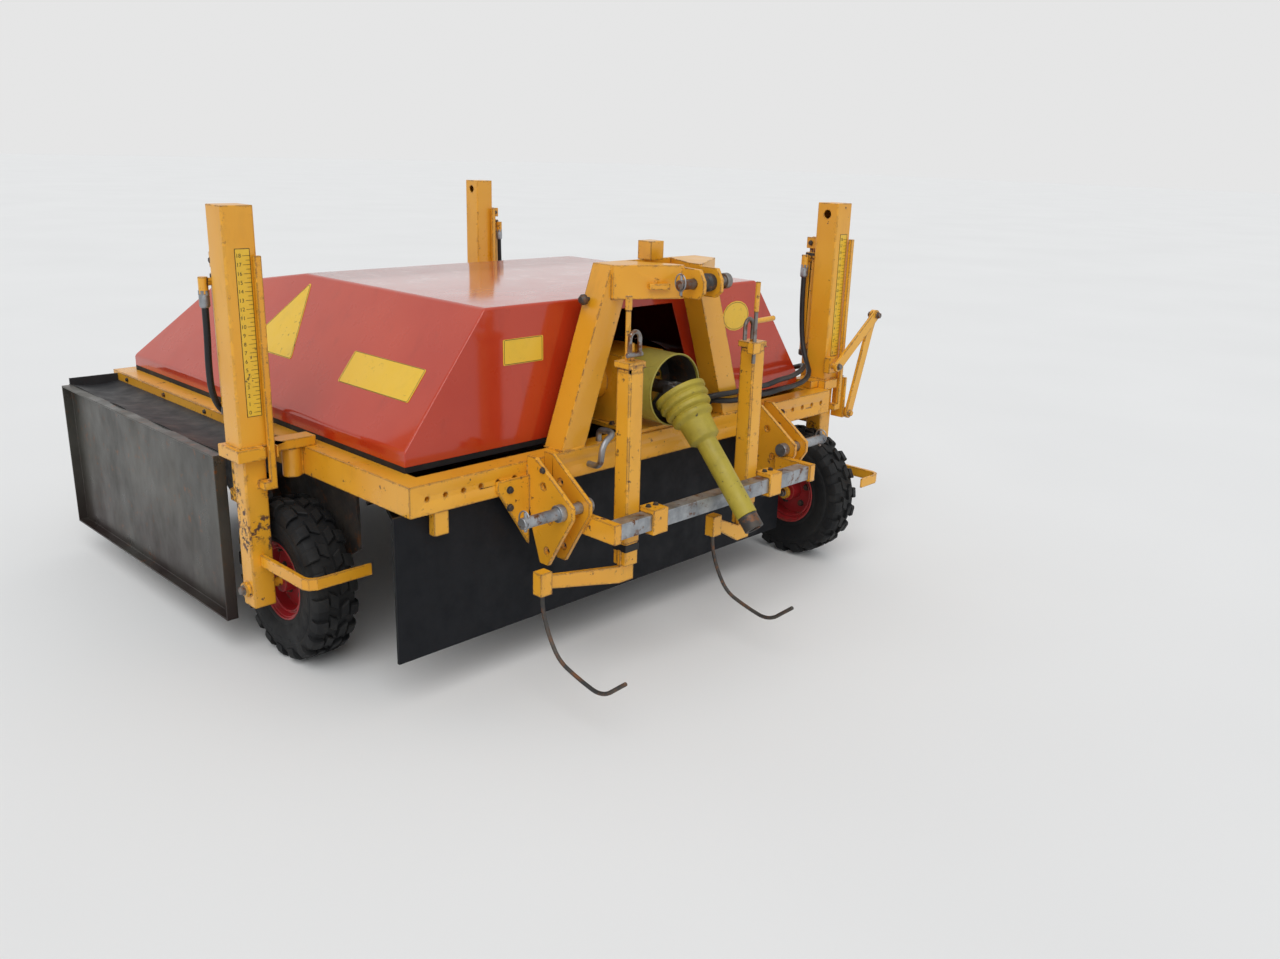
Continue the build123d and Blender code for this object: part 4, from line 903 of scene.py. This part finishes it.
HITCH_PIN = (-0.128, 0.452)
HITCH_PIN_END = 0.59
HITCH_PLATES = (0.400, 0.467)
GUSSET_X = 0.528
GUSSET_Y = -0.010
GUSSET_BOLTS = (0.448, 0.492)
PLATE_BOLT = (-0.06, 0.54)
LINCH_IN = 0.012
LINCH_HEAD = 0.026
LINCH_RING = 0.021
RING_BESIDE = 0.003
BAR_Y = -0.213
BAR_TOP = 0.428
BAR_LOW = 0.388
BAR_END = 0.377
CAP_T = 0.0012
CAP_HALF = 0.0185
CAP_IN = 0.0015
STAND_Y = -0.169
STAND_HALF = 0.024
STAND_LOW = 0.352
STAND_HIGH = 0.8
STANDS = {"left": -0.292, "right": 0.168}
CLAMP_OUT = 0.026
CLAMP_HALF = 0.013
CLAMP_BACK = 0.006
CLAMP_T = 0.012
BAND_HALF = 0.0232
BAND_TOP = 0.004
BAND_FOOT = 0.024


def linch_pin(piece, place, side, drop, pin_r, ring_half, ring_rise, ring_r):
    """A cross pin through a hitch pin, and its spring ring on the outer side."""
    x, y, z = place
    piece.rod(at(x, y, z + LINCH_HEAD), at(x, y, z - drop), pin_r)
    ring = [at(x + side * RING_BESIDE, y + ring_half * sin(turn), z + ring_rise + LINCH_RING * cos(turn))
            for turn in turns(24)]
    piece.tube(ring, ring_r, 8, True)


def make_hitch_hardware():
    bolts = Piece("hitch_bolts", "dark")
    rings = Piece("hitch_linch_pins", "zinc")
    welds = Piece("hitch_welds", "yellow")
    for side in (-1, 1):
        place = (side * (HITCH_PIN_END - LINCH_IN), *HITCH_PIN)
        linch_pin(rings, place, side, drop=0.022, pin_r=0.0042, ring_half=0.019, ring_rise=0.008,
                  ring_r=0.0019)
        for z in GUSSET_BOLTS:
            bolts.bolt(at(side * GUSSET_X, GUSSET_Y, z), (0, -1, 0), 0.009)
        for x in HITCH_PLATES:
            welds.bead([at(side * x, -0.002, FRAME_TOP - 0.008), at(side * x, -0.002, FRAME_TOP - 0.072)])
        bolts.bolt(at(side * HITCH_PLATES[1], *PLATE_BOLT), (side, 0, 0), 0.008)
    bolts.done()
    rings.done()
    welds.done()


def make_bar_hardware():
    caps = Piece("crossbar_caps", "dark")
    for side in (-1, 1):
        near, far = sorted((side * BAR_END, side * (BAR_END + CAP_T)))
        caps.box(at(near, BAR_Y - CAP_HALF, BAR_LOW + CAP_IN), at(far, BAR_Y + CAP_HALF, BAR_TOP - CAP_IN))
    caps.done()
    bolts = Piece("clamp_bolts", "dark")
    for x in STANDS.values():
        clamp = x + STAND_HALF + CLAMP_OUT
        for z, way in ((BAR_TOP + CLAMP_T, UP), (BAR_LOW - CLAMP_T, DOWN)):
            for step in (-CLAMP_HALF, CLAMP_HALF):
                bolts.bolt(at(clamp + step, BAR_Y + CLAMP_BACK, z), way, 0.0072)
        bolts.bolt(at(x, STAND_Y - STAND_HALF, STAND_LOW + 0.032), (0, -1, 0), 0.0078)
    bolts.done()
    bands = Piece("stand_bands", "hose")
    for x in STANDS.values():
        bands.box(at(x - BAND_HALF, STAND_Y - BAND_HALF, STAND_LOW - BAND_FOOT),
                  at(x + BAND_HALF, STAND_Y + BAND_HALF, STAND_LOW - BAND_TOP))
    bands.done(0.002)


# Tops of the stands

SHACKLE_R = 0.0055
SHACKLE_LIFT = 0.018


def arch(middle, width, drop, lift, steps=16):
    """A bow that stands on two legs, seen from the front: half a ring over two straight sides."""
    points = [middle + Vector((-width, 0, -drop))]
    for k in range(steps + 1):
        turn = pi * (1 - k / steps)
        points.append(middle + Vector((width * cos(turn), 0, lift * sin(turn))))
    points.append(middle + Vector((width, 0, -drop)))
    return points


def places_on(stand):
    """Gives places from the middle of a stand's top."""
    return lambda x, y, z: at(STANDS[stand] + x, STAND_Y + y, STAND_HIGH + z)


def dress_left_stand(tops, handle):
    """A shackle on its cross pin, and behind it a rod with a thicker grip."""
    on = places_on("left")
    tops.tube(arch(on(0, -0.012, 0.052), 0.0165, 0.038, SHACKLE_LIFT), SHACKLE_R)
    tops.rod(on(-0.025, -0.012, 0.016), on(0.025, -0.012, 0.016), 0.006)
    handle.rod(on(0.001, 0.012, 0), on(0.001, 0.012, 0.142), 0.0062)
    handle.rod(on(0.001, 0.012, 0.116), on(0.001, 0.012, 0.15), 0.0082)


def dress_right_stand(tops, handle):
    """A cross handle and a shackle, and beside them a pin with its grip in a small block."""
    on = places_on("right")
    handle.rod(on(-0.012, 0, 0.05), on(0.075, -0.006, 0.054), 0.0068)
    tops.tube(arch(on(-0.026, -0.004, 0.042), 0.0155, 0.036, SHACKLE_LIFT), SHACKLE_R)
    tops.rod(on(-0.038, -0.034, -0.052), on(-0.038, -0.034, 0.105), 0.0052)
    handle.rod(on(-0.038, -0.034, 0.082), on(-0.036, -0.034, 0.16), 0.0064)
    handle.box(on(-0.052, -0.043, -0.026), on(-0.020, -0.022, 0.004))


def make_stand_tops():
    tops = Piece("stand_shackles", "pin")
    handle = Piece("stand_handles", "yellow_worn")
    dress_left_stand(tops, handle)
    dress_right_stand(tops, handle)
    tops.done()
    handle.done(0.0012)


# Headstock

TOP_PIN = (-0.132, 0.958)
SPACER_X = -0.0265
SPACER = [(0, 0.0135), (0, 0.022), (0.016, 0.0235), (0.022, 0.018), (0.031, 0.018), (0.037, 0.0235),
          (0.053, 0.022), (0.053, 0.0135)]
KNOB_PLACE = (-0.239, 0.052, 0.913)
KNOB = [(-0.014, 0), (-0.012, 0.008), (-0.004, 0.0135), (0.003, 0.0135), (0.007, 0.008), (0.007, 0)]
CLIP_X = -0.084
ARM_CORNER = (-0.162, -0.022)
CLEVIS_FOOT = (-0.039, -0.092)
STOP_Z = 0.941
STOP_T = 0.015
STOP_DEPTH = 0.018
LEG_OUT = 0.350
LEG_IN = 0.272
LEG_FRONT = 0.004
LEG_BACK = 0.071
CLEVIS_HALF = 0.039


def make_top_link():
    """The spacer on the top link's pin, the knob beside it and the clip at the pin's end."""
    y, z = TOP_PIN
    spacer = Piece("top_link_spacer", "dark")
    spacer.turned(at(SPACER_X, y, z), (1, 0, 0), SPACER)
    knob = at(*KNOB_PLACE)
    spacer.rod(knob, knob + Vector((0.022, 0, 0)), 0.0055)
    spacer.turned(knob, (1, 0, 0), KNOB)
    spacer.done()
    clip = Piece("top_link_clip", "zinc")
    linch_pin(clip, (CLIP_X, y, z), -1, drop=0.026, pin_r=0.0038, ring_half=0.017, ring_rise=0.006,
              ring_r=0.0018)
    clip.done()


def make_head_stop():
    """A stop welded on the left arm's front, between the leg's corner and the clevis."""
    corner = Vector(ARM_CORNER)
    run = Vector(CLEVIS_FOOT) - corner
    forward = Vector((run.y, -run.x)).normalized() * STOP_DEPTH
    first, last = (corner + share * run - forward * 0.1 for share in (0.38, 0.76))
    stop = Piece("head_stop", "yellow_worn")
    stop.prism([at(p.x, p.y, STOP_Z) for p in (first, last, last + forward, first + forward)], (0, 0, STOP_T))
    stop.done(0.002)


def make_head_welds():
    welds = Piece("head_welds", "yellow")
    foot = FRAME_TOP + 0.001
    clevis_y = TOP_PIN[0] + 0.06
    for side in (-1, 1):
        outer = at(side * LEG_OUT, LEG_FRONT, foot)
        inner = at(side * LEG_IN, LEG_FRONT, foot)
        welds.bead([outer, inner, at(side * LEG_IN, LEG_BACK, foot)])
        welds.bead([outer, at(side * LEG_OUT, LEG_BACK, foot)])
        welds.bead([at(side * CLEVIS_HALF, clevis_y, 0.922), at(side * CLEVIS_HALF, clevis_y, 0.994)])
    welds.done()


# Gearbox and shaft shield

PTO_Z = 0.67
FOOT_BOLT_X = 0.0885
FOOT_BOLTS_Y = (0.095, 0.18, 0.285)
FLANGE_Y = 0.058
FLANGE_CIRCLE = 0.05
SIDE_FLANGE = (0.13, 0.17)
SIDE_CIRCLE = 0.036
CAN_FRONT = -0.044
CAN_DEPTH = 0.0985
CAN_IN = 0.0914
LINER_T = 0.0005
LINER_BACK_T = 0.0006
LINER_HOLE = 0.0625
CAN_RIM_Y = -0.0495
CAN_RIM_R = 0.0942


def make_gearbox_bolts():
    bolts = Piece("gearbox_bolts", "dark")
    for side in (-1, 1):
        for y in FOOT_BOLTS_Y:
            bolts.bolt(at(side * FOOT_BOLT_X, y, FRAME_TOP + 0.012), UP, 0.0085)
    for turn in turns(8, pi / 8):
        place = at(FLANGE_CIRCLE * cos(turn), FLANGE_Y, PTO_Z + FLANGE_CIRCLE * sin(turn))
        bolts.bolt(place, (0, -1, 0), 0.006)
    out, middle = SIDE_FLANGE
    for side in (-1, 1):
        for turn in turns(6):
            place = at(side * out, middle + SIDE_CIRCLE * cos(turn), PTO_Z + SIDE_CIRCLE * sin(turn))
            bolts.bolt(place, (side, 0, 0), 0.0055)
    bolts.done()


def make_can_trim():
    """A dark liner over the inside of the shaft's shield, which is painted shade in its hollow, and the
    shield's rolled rim.
    """
    wall = CAN_IN + LINER_T
    floor = CAN_DEPTH - LINER_BACK_T
    # A thin dark sheet over the shield's inner wall and back: painted shade inside the hollow
    liner = Piece("pto_can_shade_liner", "dark")
    liner.turned(at(0, CAN_FRONT, PTO_Z), (0, 1, 0), [
        (0, CAN_IN), (0, wall), (CAN_DEPTH, wall), (CAN_DEPTH, LINER_HOLE), (floor, LINER_HOLE),
        (floor, CAN_IN), (0, CAN_IN)], 64)
    liner.done()
    rim = Piece("pto_can_rim", "can")
    rim.tube([at(CAN_RIM_R * cos(turn), CAN_RIM_Y, PTO_Z + CAN_RIM_R * sin(turn)) for turn in turns(64)],
             0.0026, 8, True)
    rim.done()


# Posts and their cylinders

GLAND_LOW = 0.637
GLAND = [(0, 0.0135), (0, 0.022), (0.003, 0.0252), (0.017, 0.0252), (0.019, 0.0232), (0.019, 0.0135)]
CAP_LOW = 0.962
CAP = [(0, 0.0232), (0.001, 0.0246), (0.008, 0.0246), (0.0098, 0.021), (0.0102, 0.0)]
PIN_Z = 1.002
PIN_OUT = 0.019
WELD_OFF = 0.001
WELD_REACH = 0.016
LINK_FRONT = 0.047


def make_station_hardware(name):
    """The gland, cap and pin of a cylinder, and the welds at the foot of its post."""
    x, y, _ = STATIONS[name]
    along_x, along_y = (1, 0) if name == "rear" else (0, 1)
    middle = (x + along_x * CYL_OFF, y + along_y * CYL_OFF)
    gland = Piece("cylinder_" + name + "_gland", "dark")
    gland.turned(at(*middle, GLAND_LOW), UP, GLAND, 32)
    gland.turned(at(*middle, CAP_LOW), UP, CAP, 32)
    for sign in (-1, 1):
        way = Vector((sign * along_y, sign * along_x, 0))
        gland.bolt(at(*middle, PIN_Z) + PIN_OUT * way, way, 0.0075)
    gland.done()
    edge = POST_HALF + WELD_OFF
    foot = POST_BASE + WELD_OFF
    front_left = at(x - edge, y - edge, foot)
    front_right = at(x + edge, y - edge, foot)
    back_left = at(x - edge, y + edge, foot)
    weld = Piece("post_" + name + "_welds", "yellow")
    weld.bead([front_right, front_left] if name == "left" else [front_left, back_left])
    weld.bead([front_left, at(x + WELD_REACH, y - edge, foot)])
    weld.done()


def make_link_hardware():
    x, y, _ = STATIONS["right"]
    front = y - POST_HALF - LINK_FRONT
    bolts = Piece("link_bolts", "pin")
    # Each bolt: its place from the post's middle, the link's front and the post's foot, and the way it faces
    for dx, dy, dz, way in ((-0.0315, 0, 0.05, -1), (0.0685, 0.01, -0.119, -1), (0.1665, -0.004, 0.198, -1),
                            (0.1665, 0.022, 0.198, 1)):
        bolts.bolt(at(x + dx, front + dy, POST_BASE + dz), (0, way, 0), 0.0105)
    bolts.done()


# Side outlet

OUTLET_REACH = 0.148
PANEL_TOP = 0.53
COVER_Y0 = 0.59
COVER_Y1 = 1.61
COVER_HIGH = 0.524
COVER_T = 0.004
COVER_REST = 0.0012
COVER_SAG = 0.009
COVER_WAVE = 0.002
COVER_LAP = 0.001
COVER_CELLS = (10, 60)
END_WALL_T = 0.005
STRIP_T = 0.004
OUTLET_BOLTS = [0.72, 0.99, 1.26, 1.53]
BEARING_X = 0.764
BEARING = (0.76, 0.345)
BEARING_CIRCLE = 0.04


def cover_height(u, v):
    """The height of the rubber from the beam, u = 0, to the panel, u = 1, at the way v along it."""
    slack = COVER_SAG * 4 * u * (1 - u) * (1 + 0.3 * sin(9 * v))
    wave = COVER_WAVE * u ** 3 * (sin(23 * v) + 0.5 * sin(41 * v + 1))
    return COVER_HIGH + (PANEL_TOP + COVER_REST - COVER_HIGH) * u - slack + wave


def cover_layer(cover, drop):
    """The points of the rubber's upper or lower face, row by row along the beam."""
    across, along = COVER_CELLS
    rows = []
    for j in range(along + 1):
        v = j / along
        y = COVER_Y0 + (COVER_Y1 - END_WALL_T - COVER_Y0) * v
        rows.append([])
        for i in range(across + 1):
            u = i / across
            x = -FRAME_HALF - COVER_LAP - (OUTLET_REACH + 2 * COVER_LAP) * u
            rows[-1].append(cover.bm.verts.new(at(x, y, cover_height(u, v) - drop)))
    return rows


def make_outlet_cover():
    """The rubber over the outlet sags between the strip on the beam and the panel."""
    across, along = COVER_CELLS
    cover = Piece("outlet_cover_form", "cover")
    top = cover_layer(cover, 0)
    low = cover_layer(cover, COVER_T)
    for j in range(along):
        for i in range(across):
            cover.bm.faces.new([top[j][i], top[j][i + 1], top[j + 1][i + 1], top[j + 1][i]])
            cover.bm.faces.new([low[j][i], low[j + 1][i], low[j + 1][i + 1], low[j][i + 1]])
        for i in (0, across):
            cover.bm.faces.new([top[j][i], top[j + 1][i], low[j + 1][i], low[j][i]])
    for i in range(across):
        for j in (0, along):
            cover.bm.faces.new([top[j][i], top[j][i + 1], low[j][i + 1], low[j][i]])
    beam_x = -FRAME_HALF - COVER_LAP
    panel_x = -FRAME_HALF - OUTLET_REACH
    wall = [(beam_x, FRAME_TOP - 0.005), (panel_x, PANEL_TOP + 0.016), (panel_x, PANEL_TOP - 0.07),
            (beam_x, FRAME_TOP - 0.076)]
    cover.prism([at(x, COVER_Y1 - END_WALL_T, z) for x, z in wall], (0, END_WALL_T, 0))
    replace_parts(cover.done(), "outlet_cover")
    strip = Piece("outlet_strip", "yellow_worn")
    strip.box(at(-FRAME_HALF - STRIP_T, COVER_Y0, COVER_HIGH - 0.002),
              at(-FRAME_HALF, COVER_Y1, FRAME_TOP - 0.001))
    strip.done(0.001)


def make_outlet_hardware():
    """The bolts of the cover's strip and those round the rotor's bearings."""
    bolts = Piece("outlet_bolts", "dark")
    for y in OUTLET_BOLTS:
        bolts.bolt(at(-FRAME_HALF - STRIP_T, y, COVER_HIGH + 0.012), (-1, 0, 0), 0.0065)
    y, z = BEARING
    for side in (-1, 1):
        for turn in turns(4, pi / 4):
            place = at(side * BEARING_X, y + BEARING_CIRCLE * cos(turn), z + BEARING_CIRCLE * sin(turn))
            bolts.bolt(place, (side, 0, 0), 0.006)
    bolts.done()


# Stage

FLOOR_TONE = (0.80, 0.80, 0.79)
SKY_TONE = (0.79, 0.79, 0.79)
SKY_COLOUR = (0.95, 0.97, 1, 1)
SKY_LIGHT = 0.66
FLOOR_HALF = 60
FLOOR_Z = -0.0005
SUN_WAY = (3.5, 3.0, -5.5)
SUN_LIGHT = 1.35
SUN_SPREAD = radians(50)


def make_floor():
    n = Nodes("floor")
    n.colour(n.mix(n.patches(0.7, 0.3, 0.7, 2), FLOOR_TONE, tuple(1.03 * c for c in FLOOR_TONE)))
    n.set("Roughness", 0.9)
    mesh = bpy.data.meshes.new("floor")
    corners = [(x * FLOOR_HALF, y * FLOOR_HALF, 0) for x, y in ((-1, -1), (1, -1), (1, 1), (-1, 1))]
    mesh.from_pydata(corners, [], [(0, 1, 2, 3)])
    mesh.materials.append(n.material)
    floor = object_from(mesh, "floor")
    floor.location.z = FLOOR_Z


def make_sky():
    """A sky with its own light, which the camera and reflections see in the backdrop's tone."""
    world = bpy.data.worlds.new("sky")
    world.use_nodes = True
    nodes = world.node_tree.nodes
    link = world.node_tree.links.new
    light = nodes["Background"]
    light.inputs["Color"].default_value = SKY_COLOUR
    light.inputs["Strength"].default_value = SKY_LIGHT
    seen = nodes.new("ShaderNodeBackground")
    seen.inputs["Color"].default_value = (*SKY_TONE, 1)
    path = nodes.new("ShaderNodeLightPath")
    either = nodes.new("ShaderNodeMath")
    either.operation = "MAXIMUM"
    choose = nodes.new("ShaderNodeMixShader")
    link(path.outputs["Is Camera Ray"], either.inputs[0])
    link(path.outputs["Is Glossy Ray"], either.inputs[1])
    link(either.outputs[0], choose.inputs[0])
    link(light.outputs[0], choose.inputs[1])
    link(seen.outputs[0], choose.inputs[2])
    link(choose.outputs[0], nodes["World Output"].inputs["Surface"])
    bpy.context.scene.world = world


def make_sun():
    data = bpy.data.lights.new("sun", "SUN")
    data.energy = SUN_LIGHT
    data.angle = SUN_SPREAD
    sun = object_from(data, "sun")
    sun.rotation_euler = Vector(SUN_WAY).to_track_quat("-Z", "Y").to_euler()


make_camera()
make_hoses()
dress_nodes()
make_forms()
for station in STATIONS:
    make_wheel(station)
    make_station_hardware(station)
make_scale("left")
make_scale("right")
make_plates()
make_hitch_hardware()
make_bar_hardware()
make_stand_tops()
make_top_link()
make_head_stop()
make_head_welds()
make_gearbox_bolts()
make_can_trim()
make_link_hardware()
make_outlet_cover()
make_outlet_hardware()
make_floor()
make_sky()
make_sun()

scene = bpy.context.scene
scene.view_settings.view_transform = "Standard"
